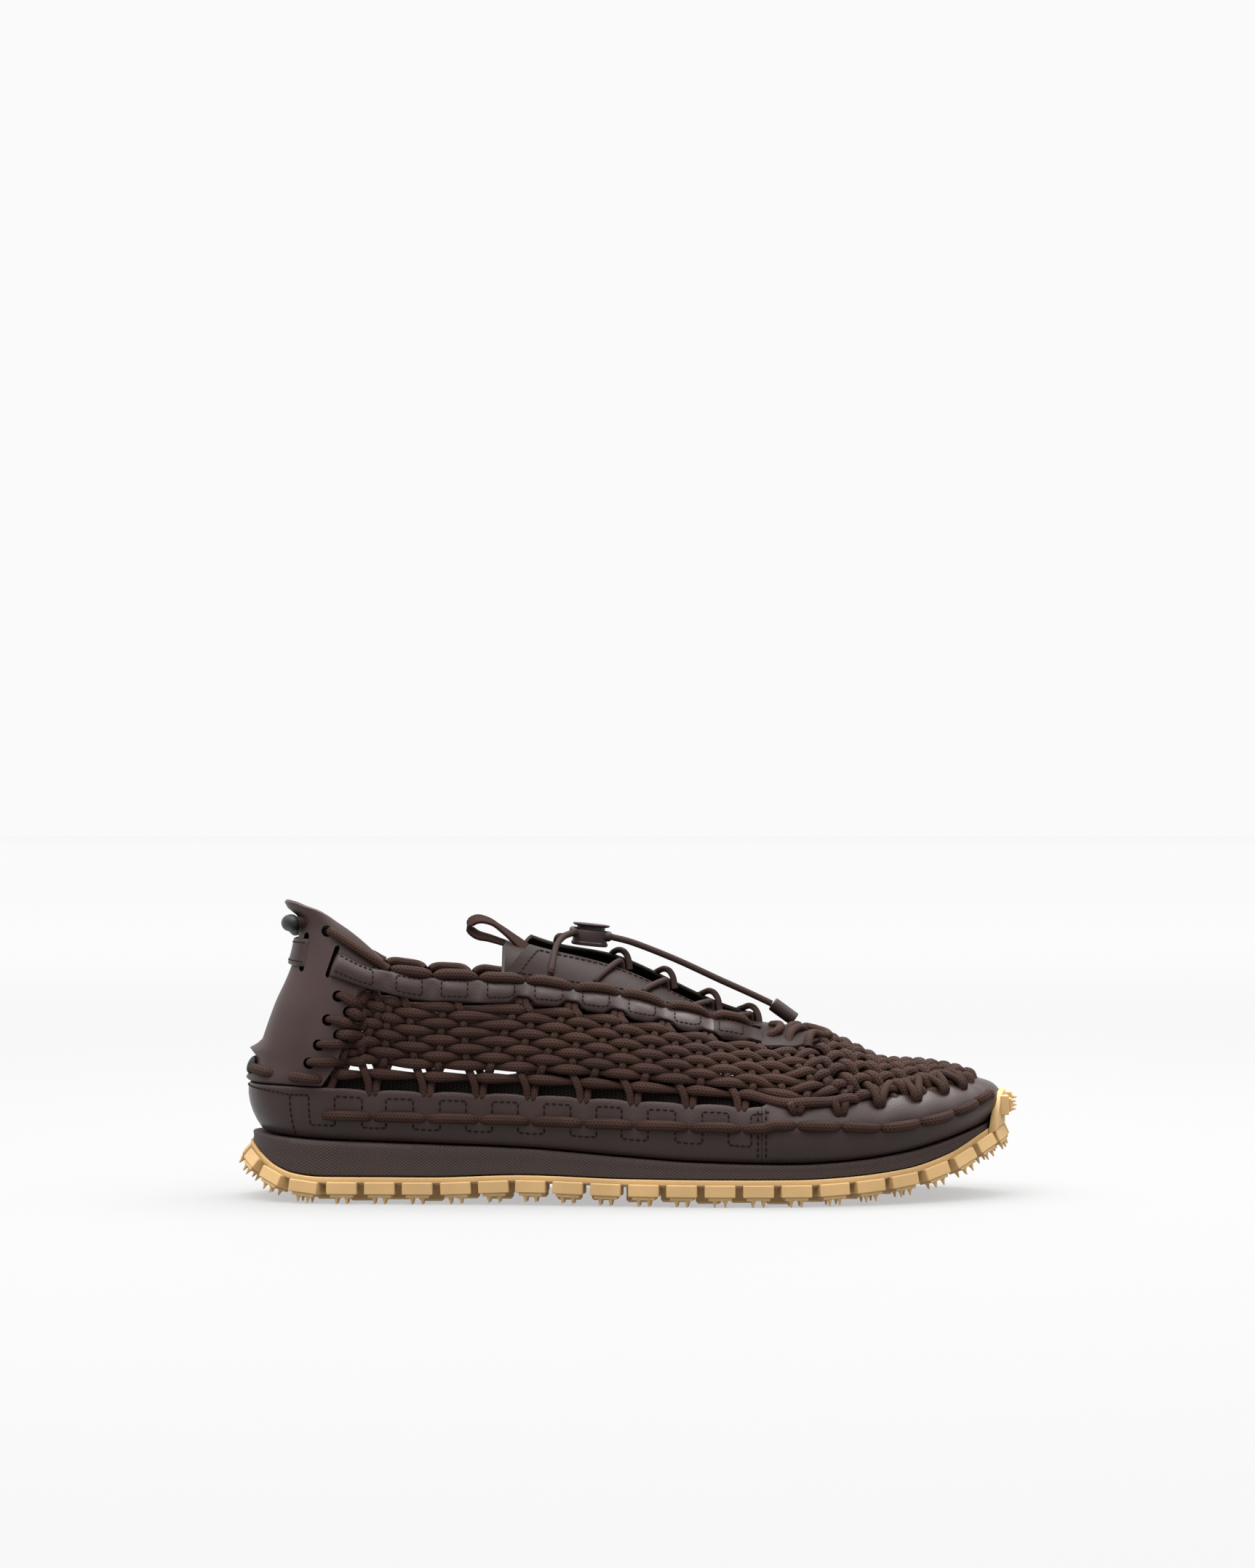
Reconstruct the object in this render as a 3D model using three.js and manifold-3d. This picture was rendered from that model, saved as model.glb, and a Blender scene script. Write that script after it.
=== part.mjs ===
// Woven sneaker for the right foot. Millimetres, +X to the toe, -Y to the outer side of the foot, +Z up.
// Every soft piece is cut from one last: a spine with stations round it, each with a section of the foot.
import * as THREE from "three";
import { mergeVertices } from "three/addons/utils/BufferGeometryUtils.js";
import Module from "manifold-3d";

const wasm = await Module();
wasm.setup();
const { lerp, clamp, smoothstep, degToRad: radians } = THREE.MathUtils;

// Thicknesses and gaps
const SEAT_GAP = 0.3;
const WALL = 2.2;
const LEATHER = 1.6;
const COUNTER = 2.3;
const CORD_RADIUS = 1.9;
const CORD_DIP = 1.2;
const CORD_SIDES = 5;
const ARC_STEPS = 3;
const LACE_RADIUS = 1.2;
const INSOLE_THICK = 3.2;
const TONGUE_THICK = 2.4;
const MERGE_STEP = 1e-4;
const UP = new THREE.Vector3(0, 0, 1);

// Sides of the foot, as the sign of Y
const OUTER = -1;
const INNER = 1;

// Spine ends, spacing of the stations
const HEEL_CENTRE_X = 40;
const TOE_CENTRE_X = 250;
const SIDE_STEP = 10;
const FAN_STEP = 15;
const PLAN_STEP = 4;
const LUG_STEP = 3;
const TOE_MM_PER_DEGREE = 0.72;
const QUARTER = 90;
const UNDER_STEPS = 5;
const SIDE_STEPS = 26;
const OUTLINE_STEPS = 440;

// Plan outline of the last at its fullest line, from the heel along the outer side to the toe and back
const LAST_OUTLINE = [
  { x: 6.3, y: 0 }, { x: 11.5, y: -18.8 }, { x: 28, y: -31.6 }, { x: 60, y: -35 },
  { x: 100, y: -37.5 }, { x: 140, y: -43.5 }, { x: 180, y: -48.4 }, { x: 215, y: -47 },
  { x: 247, y: -36.8 }, { x: 270.5, y: -21.2 }, { x: 284.5, y: -3.6 }, { x: 288.7, y: 12 },
  { x: 282.6, y: 28.8 }, { x: 264, y: 40.4 }, { x: 235, y: 45.3 }, { x: 200, y: 44.4 },
  { x: 165, y: 39 }, { x: 130, y: 33 }, { x: 95, y: 31 }, { x: 60, y: 32.4 },
  { x: 28, y: 30.4 }, { x: 11.5, y: 18.4 },
];

// Spine of the last in plan
const CENTRE_LINE = [{ x: 40, y: 0 }, { x: 130, y: -1 }, { x: 200, y: 0 }, { x: 250, y: 4 }];

// Heights of the fullest line and of the ridge, and how far the wall tucks in at the sole
const LAST_LINES = [
  { x: 6, fullest: 43, ridge: 128, tuck: 5.5 }, { x: 40, fullest: 42, ridge: 128, tuck: 3.5 },
  { x: 70, fullest: 40, ridge: 124, tuck: 3 }, { x: 100, fullest: 37, ridge: 105, tuck: 2.5 },
  { x: 114, fullest: 35, ridge: 98.5, tuck: 2.5 }, { x: 146, fullest: 30, ridge: 87.8, tuck: 2.4 },
  { x: 190, fullest: 26.5, ridge: 67.4, tuck: 2.2 }, { x: 205, fullest: 26, ridge: 63.6, tuck: 2.2 },
  { x: 228, fullest: 27.5, ridge: 58, tuck: 2.2 }, { x: 250, fullest: 29.5, ridge: 51.5, tuck: 2.2 },
  { x: 275, fullest: 33.5, ridge: 51.5, tuck: 2.3 }, { x: 289, fullest: 36, ridge: 51.5, tuck: 2.5 },
];

// Centre section of the heel, as the inset from the fullest line; the top rows are the pull-on lip
const HEEL_BACK = [
  { z: 43, inset: 0 }, { z: 46, inset: 1.2 }, { z: 50, inset: 2.8 }, { z: 60, inset: 4.2 },
  { z: 67, inset: 6 }, { z: 74, inset: 8.9 }, { z: 80.6, inset: 12.9 }, { z: 87.3, inset: 16 },
  { z: 94, inset: 18.6 }, { z: 101, inset: 20.2 }, { z: 106, inset: 19.6 }, { z: 109.5, inset: 16 },
  { z: 111.5, inset: 13.8 }, { z: 114, inset: 14.6 },
];
const HEEL_TOP = 114;
const HEEL_FADE = 1.2;
const LIP_FADE = 0.3;

// Top and bottom of the midsole, and how far it stands out from the fullest line
const SOLE_LINES = [
  { x: 0, top: 25.6, bottom: 24.4, ledge: 0.3 }, { x: 5, top: 25.4, bottom: 22.4, ledge: 0.3 },
  { x: 10, top: 25, bottom: 18.2, ledge: 0.6 }, { x: 16, top: 24.4, bottom: 13.9, ledge: 1.3 },
  { x: 24, top: 23.9, bottom: 11.2, ledge: 2 }, { x: 34, top: 23.4, bottom: 10.3, ledge: 2.3 },
  { x: 75, top: 22, bottom: 10.3, ledge: 2.6 }, { x: 110, top: 20.8, bottom: 11.4, ledge: 2.6 },
  { x: 150, top: 17.8, bottom: 10.4, ledge: 2.6 }, { x: 175, top: 16.2, bottom: 10.3, ledge: 2.6 },
  { x: 212, top: 15.4, bottom: 10.3, ledge: 2.6 }, { x: 230, top: 16.2, bottom: 11, ledge: 2.4 },
  { x: 253, top: 19, bottom: 13.4, ledge: 2 }, { x: 270, top: 23, bottom: 18.2, ledge: 1.4 },
  { x: 283, top: 27, bottom: 24.8, ledge: 1.2 }, { x: 292, top: 30, bottom: 28.9, ledge: 1.2 },
];

// Cuts along the foot that all slabs of the sole share, with closer ones of their own at both ends
const SLAB_CUTS = { from: 9, to: 283, steps: 26, ends: [0, 0.04, 0.2, 0.5, 0.8], clear: 1, trim: 0.02 };

// Seams on the wall by height: top of the rand, high and low edge of the collar band
const SEAM_LINES = [
  { x: 6, rand: 43.5, high: 101, low: 90 }, { x: 36, rand: 43, high: 94.8, low: 86.6 },
  { x: 53, rand: 42.3, high: 87.5, low: 80.4 }, { x: 70, rand: 41.8, high: 84.8, low: 76.6 },
  { x: 90, rand: 41.3, high: 83.4, low: 75.5 }, { x: 110, rand: 40.8, high: 82.2, low: 74.6 },
  { x: 127, rand: 40.1, high: 79.4, low: 73 }, { x: 145, rand: 39.2, high: 77, low: 69.9 },
  { x: 162, rand: 38.3, high: 72.2, low: 66.3 }, { x: 180, rand: 37.4, high: 67.5, low: 61.8 },
  { x: 200, rand: 36.4, high: 63, low: 57.8 }, { x: 212, rand: 37.8, high: 60.5, low: 55.5 },
  { x: 225, rand: 40, high: 58, low: 53 }, { x: 250, rand: 41.5, high: 51, low: 50 },
  { x: 270, rand: 43.2, high: 51, low: 50 }, { x: 289, rand: 44.6, high: 51, low: 50 },
];

// Throat: half its width at the eyestay edges, and the half width of the leather apron in front of it
const THROAT = [
  { x: 110, half: 15 }, { x: 146, half: 13 }, { x: 170, half: 12 }, { x: 190, half: 9 }, { x: 200, half: 5 },
];
const APRON = [
  { x: 200, half: 27.5 }, { x: 210, half: 26 }, { x: 216, half: 21.5 }, { x: 222, half: 13.5 },
  { x: 227, half: 0 },
];
const THROAT_REAR_X = 105;
const THROAT_FRONT_X = 204;
const APRON_REAR_X = 200;
const APRON_SHUT_X = 206;
const APRON_TIP_X = 227;
const APRON_STEP = 2;
const TIP_STEP = 5;
const RAND_SPLIT_X = 200;
const EYESTAY = { low: 102, high: 112, second: 120, front: 199.7, levels: 4 };

// Weave: lengthwise cords by their share of the height from rand to band, and the height of their crests
const ROWS = 9;
const FIRST_ROW = 0.17;
const SECOND_ROW = 0.34;
const ROW_SHARE = 0.0845;
const CREST = 1.4;
const DIP = 0.25;
const NET_START_X = 55;
const WINDOW_MARGIN = 0.2;
const WINDOW_FLANK = 0.24;
const WINDOW_DEPTH = 6;
const INNER_SHARES = [0, 0.2, 0.42, 0.62, 0.82, 1];

// Outsole: web, edge lugs and their feet, measured down from the top of the web, inner lugs and toe bumper
const WEB = 3.2;
const WEB_EDGE = 0.9;
const STEEP_LIMIT = 1.7;
const LUG = {
  firstX: 28, heelTuck: 2.2, pitch: 14.1, length: 11.4, proud: 1.6, depth: 7.5, top: 1.6, bottom: 6.4,
};
const FOOT = { length: 7.4, bottom: 10 };
const SLOPE_STEP = 0.5;
const INNER_LUG = { length: 13, width: 11, sink: 1 };
const INNER_LUGS = [
  { x: 36, ys: [-10, 10] }, { x: 60, ys: [-12, 10] }, { x: 84, ys: [-12, 9] }, { x: 108, ys: [-15, 8] },
  { x: 136, ys: [-19, 11] }, { x: 164, ys: [-24, -3, 18] }, { x: 194, ys: [-27, -2, 23] },
  { x: 226, ys: [-21, 0, 22] },
];
const FLOOR_BLOCK = { middle: 150, length: 320, width: 140, depth: 5 };
const BUMPER = { from: -32, to: 46, middle: 7, near: 2.4, far: 5, top: 43.2, sunk: 2, step: 6 };
const BUMPER_LUGS = { angles: [-9, 7, 23], height: 8, width: 9.5, proud: 1.6, middle: 35.5 };
const BUMPER_FEET = { height: 4.4, width: 6, proud: 3.4 };

// Heel counter: its top edge by place along the outline, front edge, and the holes and slots cut through it
const COUNTER_TOP = [
  { x: 6, z: 114 }, { x: 12, z: 113.6 }, { x: 20, z: 112.4 }, { x: 30, z: 109.5 }, { x: 40, z: 104.5 },
  { x: 46, z: 100 }, { x: 52, z: 95.5 }, { x: 57, z: 91.5 },
];
const COUNTER_FRONT = { low: 43, high: 57 };
const COUNTER_LEVELS = 10;
const COUNTER_RAISE = 0.7;
const COUNTER_GAP = 0.6;
const COUNTER_HOLES = [
  { x: 37.5, z: 77.5 }, { x: 41, z: 71.6 }, { x: 33.3, z: 68.6 }, { x: 37.2, z: 63 }, { x: 30, z: 59.2 },
  { x: 26.7, z: 52.4 }, { x: 33, z: 101.6 },
];
const HOLE_RADIUS = 2.1;
const HOLE_SIDES = 6;
const SLOTS = [
  { x: 26.4, z: 94.5, length: 13, width: 2.2, lean: 5 },
  { x: 37, z: 91.2, length: 10.5, width: 2.4, lean: 20 },
];
const CUT_REACH = 60;
const CUT_CLEAR = 1;

// The band rides over the counter at its rear end, and its apron over the last crests of the weave
const BAND_LIFT = [
  { x: 42, lift: 2.9 }, { x: 58, lift: 2.9 }, { x: 70, lift: 0 }, { x: 190, lift: 0 }, { x: 200, lift: 0.5 },
];
const BAND_REAR_X = 42;
const BAND_SHARES = [0, 0.33, 0.67, 1];

// Running cords, by height of the line that they follow
const RAND_CORD = [
  { x: 32, z: 32.8 }, { x: 112, z: 31.2 }, { x: 160, z: 29.8 }, { x: 200, z: 28.6 }, { x: 230, z: 28 },
  { x: 248, z: 28.6 }, { x: 263, z: 31 }, { x: 275, z: 34.4 }, { x: 282, z: 37 },
];
const RAND_PITCH = 20;
const COLLAR_PITCH = 17.5;
const COLLAR_CORD = { from: 60, to: 196, rest: 99 };
const CORD_TOE_ANGLE = { [OUTER]: -44, [INNER]: 56 };
const HEEL_CORD = { z: 49.5, angle: 72, pitch: 25, clear: 1 };
const HEEL_GRIP = { angle: 14, step: 7, radius: 2, sides: 8, steps: 4 };

// Heel strap and sleeve, both standing behind the counter
const STRAP = { z: 92.6, angle: 46, width: 9, thick: 1.8, bow: 3.2, steps: 8, leanStep: 1 };
const SLEEVE = { z: 103.6, angle: 40, radius: 3.2, stand: 4.1, sides: 8 };

// Lace, lock and end
const EYELETS = [{ x: 119 }, { x: 136.1 }, { x: 154.5 }, { x: 172.8 }, { x: 189.2 }];
const EYELET_SHARE = 0.38;
const EDGE_SHARE = 0.02;
const EDGE_REACH = 0.4;
const LACE_SIDES = 5;
const LACE_ARCH = 3.2;
const LOCK_ARCH = -4.2;
const LOCK = {
  x: 134.5, z: 99.6, lean: 6, height: 8.6, flange: 7, body: 6.5, waist: 6.1, cap: 6.8, rim: 1.2, crown: 0.3,
  shoulderLow: 0.45, shoulderHigh: 0.55, port: 2.6, sides: 14,
};
const LEAD = { edge: 1, rise: 4, spread: 7, lift: 0.4, portLift: 0.2, steps: 6 };
const TAIL = [
  { x: 142.4, z: 98.7 }, { x: 151.3, z: 96.3 }, { x: 167.2, z: 90 }, { x: 183.2, z: 82.6 },
  { x: 195.2, z: 77.2 }, { x: 203.6, z: 73.2 },
];
const TAIL_SPREAD = 1.45;
const TAIL_SIDES = 8;
const TAIL_STEPS = 10;
const CORD_END = { x: 208.2, z: 70.1, radius: 2.7, length: 10.4, fall: 36, sides: 12 };

// Tongue and its pull loop
const TONGUE = { rear: 101, front: 206, half: 19, drop: 1.6, shares: [-1, -0.5, 0, 0.5, 1] };
const LOOP_PATH = [
  { x: 117, z: 94.9 }, { x: 112, z: 97 }, { x: 107, z: 99.6 }, { x: 102, z: 104 }, { x: 96, z: 108 },
  { x: 90.5, z: 108.6 }, { x: 87.6, z: 105.8 }, { x: 90.5, z: 102.4 }, { x: 96, z: 101.6 },
  { x: 102, z: 101.7 },
];
const LOOP = { width: 9, thick: 1.2 };

const COLOURS = {
  gum: { color: 0xc9a56c, roughness: 0.7, metalness: 0 },
  midsole: { color: 0x463c3a, roughness: 0.75, metalness: 0 },
  insole: { color: 0x2a2422, roughness: 0.95, metalness: 0 },
  weave: { color: 0x3a2b28, roughness: 0.9, metalness: 0 },
  leather: { color: 0x554947, roughness: 0.65, metalness: 0 },
  counter: { color: 0x504241, roughness: 0.5, metalness: 0 },
  cord: { color: 0x40302c, roughness: 0.9, metalness: 0 },
  webbing: { color: 0x473836, roughness: 0.85, metalness: 0 },
  lace: { color: 0x3c322f, roughness: 0.85, metalness: 0 },
  lock: { color: 0x382d2c, roughness: 0.45, metalness: 0 },
  sleeve: { color: 0x4a4a4a, roughness: 0.6, metalness: 0 },
};

// Smooth monotone curve through one column of a table whose rows rise in the key column
function curve(table, key, column) {
  const xs = table.map((row) => row[key]);
  const ys = table.map((row) => row[column]);
  const last = xs.length - 1;
  const rises = xs.slice(1).map((x, i) => (ys[i + 1] - ys[i]) / (x - xs[i]));
  const slopes = xs.map((_, i) => {
    if (i === 0) return rises[0];
    if (i === last) return rises[last - 1];
    const product = rises[i - 1] * rises[i];
    return product <= 0 ? 0 : (2 * product) / (rises[i - 1] + rises[i]);
  });
  return (x) => {
    if (x <= xs[0]) return ys[0];
    if (x >= xs[last]) return ys[last];
    const i = xs.findIndex((knot) => knot > x) - 1;
    const span = xs[i + 1] - xs[i];
    const t = (x - xs[i]) / span;
    const s = 1 - t;
    const ends = ys[i] * (1 + 2 * t) * s * s + ys[i + 1] * (3 - 2 * t) * t * t;
    return ends + span * (slopes[i] * t * s * s - slopes[i + 1] * s * t * t);
  };
}

const fullest = curve(LAST_LINES, "x", "fullest");
const ridge = curve(LAST_LINES, "x", "ridge");
const tuck = curve(LAST_LINES, "x", "tuck");
const heelInset = curve(HEEL_BACK, "z", "inset");
const soleTop = curve(SOLE_LINES, "x", "top");
const soleBottom = curve(SOLE_LINES, "x", "bottom");
const ledge = curve(SOLE_LINES, "x", "ledge");
const randTop = curve(SEAM_LINES, "x", "rand");
const bandTop = curve(SEAM_LINES, "x", "high");
const bandBottom = curve(SEAM_LINES, "x", "low");
const throatHalf = curve(THROAT, "x", "half");
const apronHalf = curve(APRON, "x", "half");
const counterTop = curve(COUNTER_TOP, "x", "z");
const bandLift = curve(BAND_LIFT, "x", "lift");
const centreY = curve(CENTRE_LINE, "x", "y");
const randCordHeight = curve(RAND_CORD, "x", "z");

const outlineCurve = new THREE.CatmullRomCurve3(
  LAST_OUTLINE.map((p) => new THREE.Vector3(p.x, p.y, 0)), true, "centripetal");
const outline = outlineCurve.getPoints(OUTLINE_STEPS);

// Distance from a point of the spine to the outline in one direction
function reachFrom(cx, cy, dx, dy) {
  let reach = 0;
  for (let i = 0; i < OUTLINE_STEPS; i++) {
    const a = outline[i];
    const b = outline[i + 1];
    const ex = b.x - a.x;
    const ey = b.y - a.y;
    const det = dx * ey - dy * ex;
    if (det === 0) continue;
    const t = ((a.x - cx) * ey - (a.y - cy) * ex) / det;
    const u = ((a.x - cx) * dy - (a.y - cy) * dx) / det;
    if (u >= 0 && u <= 1 && t > reach) reach = t;
  }
  return reach;
}

// One upright section of the last, from the sole up to the ridge, and the places on it
class Station {
  constructor(cx, cy, dx, dy, heelShare, kind) {
    Object.assign(this, { cx, cy, dx, dy, kind });
    this.reach = reachFrom(cx, cy, dx, dy);
    this.x = cx + dx * this.reach;
    this.section = this.drawSection(heelShare);
    this.arcs = [0];
    this.section.slice(1).forEach((p, i) => this.arcs.push(this.arcs[i] + p.distanceTo(this.section[i])));
    this.length = this.arcs.at(-1);
    this.normals = this.section.map((p, i) => this.normalAt(i));
  }

  drawSection(heelShare) {
    const low = soleTop(this.x) + SEAT_GAP;
    const full = fullest(this.x);
    const high = ridge(this.cx);
    const lip = Math.min(counterTop(this.x), HEEL_TOP);
    const rise = (lerp(high, lip, smoothstep(heelShare, 0, LIP_FADE)) - full) / (high - full);
    const points = [];
    for (let i = 0; i <= UNDER_STEPS; i++) {
      const t = i / UNDER_STEPS;
      const r = this.reach - tuck(this.x) * (1 - t) ** 2;
      points.push(new THREE.Vector2(r, lerp(low, full, t)));
    }
    for (let i = 1; i <= SIDE_STEPS; i++) {
      const up = rise * Math.sin((i / SIDE_STEPS) * Math.PI / 2);
      const z = full + (high - full) * up;
      const arch = this.reach * Math.sqrt(1 - up * up);
      const back = this.reach - heelInset(lerp(full, HEEL_TOP, clamp((z - full) / (lip - full), 0, 1)));
      points.push(new THREE.Vector2(lerp(arch, back, heelShare), z));
    }
    return points;
  }

  // Outward normal in the plane of the section; level below the fullest line and upright on the ridge
  normalAt(i) {
    if (i <= UNDER_STEPS) return new THREE.Vector2(1, 0);
    const end = this.section.length - 1;
    if (i === end && this.section[end].x === 0) return new THREE.Vector2(0, 1);
    const ahead = this.section[Math.min(i + 1, end)];
    const run = ahead.clone().sub(this.section[i - 1]).normalize();
    return new THREE.Vector2(run.y, -run.x);
  }

  at(arc, offset = 0) {
    const found = this.arcs.findIndex((a) => a > arc);
    const k = found < 0 ? this.arcs.length - 1 : Math.max(found, 1);
    const t = clamp((arc - this.arcs[k - 1]) / (this.arcs[k] - this.arcs[k - 1]), 0, 1);
    const p = this.section[k - 1].clone().lerp(this.section[k], t);
    const n = this.normals[k - 1].clone().lerp(this.normals[k], t).normalize();
    p.addScaledVector(n, offset);
    return this.place(p.x, p.y);
  }

  place(r, z) {
    return new THREE.Vector3(this.cx + this.dx * r, this.cy + this.dy * r, z);
  }

  arcWhere(test, measure) {
    const k = this.section.findIndex((p, i) => i > 0 && test(p, i));
    if (k < 0) return this.length;
    const span = this.arcs[k] - this.arcs[k - 1];
    return this.arcs[k - 1] + span * measure(this.section[k - 1], this.section[k]);
  }

  arcAtHeight(z) {
    return this.arcWhere((p) => p.y >= z, (a, b) => (z - a.y) / (b.y - a.y));
  }

  arcAtReach(r) {
    return this.arcWhere((p, i) => i > UNDER_STEPS && p.x <= r, (a, b) => (a.x - r) / (a.x - b.x));
  }
}

const toeY = centreY(TOE_CENTRE_X);
const heelY = centreY(HEEL_CENTRE_X);

function sideStation(x, side) {
  return new Station(x, centreY(x), 0, side, 0, "side");
}

// Angles are measured from the back of the heel or the front of the toe; minus is the outer side
function heelStation(angle) {
  const a = radians(angle);
  const share = Math.max(Math.cos(a), 0) ** HEEL_FADE;
  return new Station(HEEL_CENTRE_X, heelY, -Math.cos(a), Math.sin(a), share, "heel");
}

function toeStation(angle) {
  const a = radians(angle);
  const station = new Station(TOE_CENTRE_X, toeY, Math.cos(a), Math.sin(a), 0, "toe");
  station.angle = angle;
  return station;
}

// Both ends and every multiple of the step between them, in the order of travel
function stepsBetween(from, to, step) {
  const low = Math.min(from, to);
  const high = Math.max(from, to);
  const list = [low];
  for (let v = Math.floor(low / step + 1) * step; v < high; v += step) list.push(v);
  list.push(high);
  return from < to ? list : list.reverse();
}

function sideRun(from, to, side, step = SIDE_STEP) {
  return stepsBetween(from, to, step).map((x) => sideStation(x, side));
}

const heelRun = (from, to, step = FAN_STEP) => stepsBetween(from, to, step).map(heelStation);
const toeRun = (from, to, step = FAN_STEP) => stepsBetween(from, to, step).map(toeStation);

// The whole ring, once round from the back of the heel by the outer side
function fullRing(step, fan) {
  return [
    ...heelRun(0, -QUARTER, fan), ...sideRun(HEEL_CENTRE_X, TOE_CENTRE_X, OUTER, step).slice(1, -1),
    ...toeRun(-QUARTER, QUARTER, fan), ...sideRun(TOE_CENTRE_X, HEEL_CENTRE_X, INNER, step).slice(1, -1),
    ...heelRun(QUARTER, 0, fan).slice(0, -1),
  ];
}

const rearRun = (x) => [
  ...sideRun(x, HEEL_CENTRE_X, OUTER), ...heelRun(-QUARTER, QUARTER).slice(1, -1),
  ...sideRun(HEEL_CENTRE_X, x, INNER),
];
const frontRun = (x) => [
  ...sideRun(x, TOE_CENTRE_X, OUTER), ...toeRun(-QUARTER, QUARTER).slice(1, -1),
  ...sideRun(TOE_CENTRE_X, x, INNER),
];

// Solid from loose triangles: joins equal corners, drops empty triangles and turns the faces out
function solid(corners) {
  const joined = mergeVertices(new THREE.BufferGeometry().setFromPoints(corners), MERGE_STEP);
  const source = joined.index.array;
  const place = joined.attributes.position;
  const corner = (i) => new THREE.Vector3().fromBufferAttribute(place, source[i]);
  const index = [];
  let volume = 0;
  for (let i = 0; i < source.length; i += 3) {
    const [a, b, c] = [source[i], source[i + 1], source[i + 2]];
    if (a === b || b === c || c === a) continue;
    index.push(a, b, c);
    volume += corner(i).dot(corner(i + 1).cross(corner(i + 2)));
  }
  if (volume < 0) index.reverse();
  return new wasm.Manifold(new wasm.Mesh({
    numProp: 3, vertProperties: Float32Array.from(place.array), triVerts: Uint32Array.from(index),
  }));
}

function solidOf(geometry, matrix) {
  const flat = geometry.index ? geometry.toNonIndexed() : geometry;
  const corners = [];
  for (let i = 0; i < flat.attributes.position.count; i++) {
    corners.push(new THREE.Vector3().fromBufferAttribute(flat.attributes.position, i).applyMatrix4(matrix));
  }
  return solid(corners);
}

class Faces {
  corners = [];

  quad(a, b, c, d) {
    this.corners.push(a, b, c, a, c, d);
  }

  ladder(first, second) {
    for (let j = 0; j + 1 < first.length; j++) this.quad(first[j], second[j], second[j + 1], first[j + 1]);
  }

  // The same ladder seen from behind, split along the same diagonals
  backLadder(first, second) {
    for (let j = 0; j + 1 < first.length; j++) this.quad(second[j + 1], second[j], first[j], first[j + 1]);
  }
}

// Closed sheet with thickness from its outer and inner rows, each row running from its bottom edge upwards.
// A row that is not open ends on the ridge, where it meets the row of the other side.
function shell(outer, inner, { closed = false, open = () => true } = {}) {
  const faces = new Faces();
  const pairs = closed ? outer.length : outer.length - 1;
  for (let i = 0; i < pairs; i++) {
    const k = (i + 1) % outer.length;
    faces.ladder(outer[i], outer[k]);
    faces.backLadder(inner[i], inner[k]);
    faces.quad(outer[k][0], outer[i][0], inner[i][0], inner[k][0]);
    if (open(i) || open(k)) faces.quad(outer[i].at(-1), outer[k].at(-1), inner[k].at(-1), inner[i].at(-1));
  }
  if (!closed) {
    faces.ladder(inner[0], outer[0]);
    faces.ladder(outer.at(-1), inner.at(-1));
  }
  return solid(faces.corners);
}

// Leather cut from the last: each station gives the places of its lines, which share one offset
function overlay(stations, arcsAt, near, thick, options) {
  const rows = (offset) => stations.map((s) => arcsAt(s).map((arc) => s.at(arc, offset(s))));
  return shell(rows((s) => near(s) + thick), rows(near), options);
}

// Bar swept along points, with the outline given at each point in a frame whose second axis follows the hint
function sweep(points, hint, outlineAt) {
  const rows = points.map((p, i) => {
    const ahead = points[Math.min(i + 1, points.length - 1)];
    const along = ahead.clone().sub(points[Math.max(i - 1, 0)]).normalize();
    const up = hint(i).clone();
    up.addScaledVector(along, -up.dot(along)).normalize();
    const across = along.clone().cross(up);
    return outlineAt(i).map(([u, v]) => p.clone().addScaledVector(across, u).addScaledVector(up, v));
  });
  const faces = new Faces();
  rows.slice(1).forEach((row, i) => faces.ladder([...rows[i], rows[i][0]], [...row, row[0]]));
  for (let j = 1; j + 1 < rows[0].length; j++) {
    faces.corners.push(rows[0][0], rows[0][j], rows[0][j + 1]);
    faces.corners.push(rows.at(-1)[0], rows.at(-1)[j + 1], rows.at(-1)[j]);
  }
  return solid(faces.corners);
}

function circle(radius, sides) {
  const steps = Array.from({ length: sides }, (_, i) => (i * 2 * Math.PI) / sides);
  return steps.map((a) => [radius * Math.cos(a), radius * Math.sin(a)]);
}

function cord(points, radiusAt, sides = CORD_SIDES, hint = () => UP) {
  return sweep(points, hint, (i) => circle(radiusAt(i), sides));
}

// Tube of one radius along points, with closed ends
function tube(points, radius, sides, steps) {
  const shape = new THREE.Shape(circle(radius, sides).map(([u, v]) => new THREE.Vector2(u, v)));
  const options = { steps, extrudePath: new THREE.CatmullRomCurve3(points), bevelEnabled: false };
  return solidOf(new THREE.ExtrudeGeometry(shape, options), new THREE.Matrix4());
}

function ribbon(points, hint, width, thick) {
  const u = thick / 2;
  const v = width / 2;
  return sweep(points, hint, () => [[u, v], [-u, v], [-u, -v], [u, -v]]);
}

const unite = (solids) => solids.reduce((whole, piece) => whole.add(piece));

const shoe = new THREE.Group();

function place(name, body, look) {
  const { vertProperties, triVerts, numProp } = body.getMesh();
  const geometry = new THREE.BufferGeometry();
  const positions = new Float32Array((vertProperties.length / numProp) * 3);
  for (let i = 0; i * numProp < vertProperties.length; i++) {
    positions.set(vertProperties.subarray(i * numProp, i * numProp + 3), i * 3);
  }
  geometry.setAttribute("position", new THREE.BufferAttribute(positions, 3));
  geometry.setIndex(new THREE.BufferAttribute(Uint32Array.from(triVerts), 1));
  geometry.computeVertexNormals();
  const mesh = new THREE.Mesh(geometry, new THREE.MeshStandardMaterial(look));
  mesh.name = name;
  shoe.add(mesh);
}

// Upper: the woven wall

const isOpen = (s) => s.kind !== "toe" && s.x < THROAT_FRONT_X;

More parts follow.
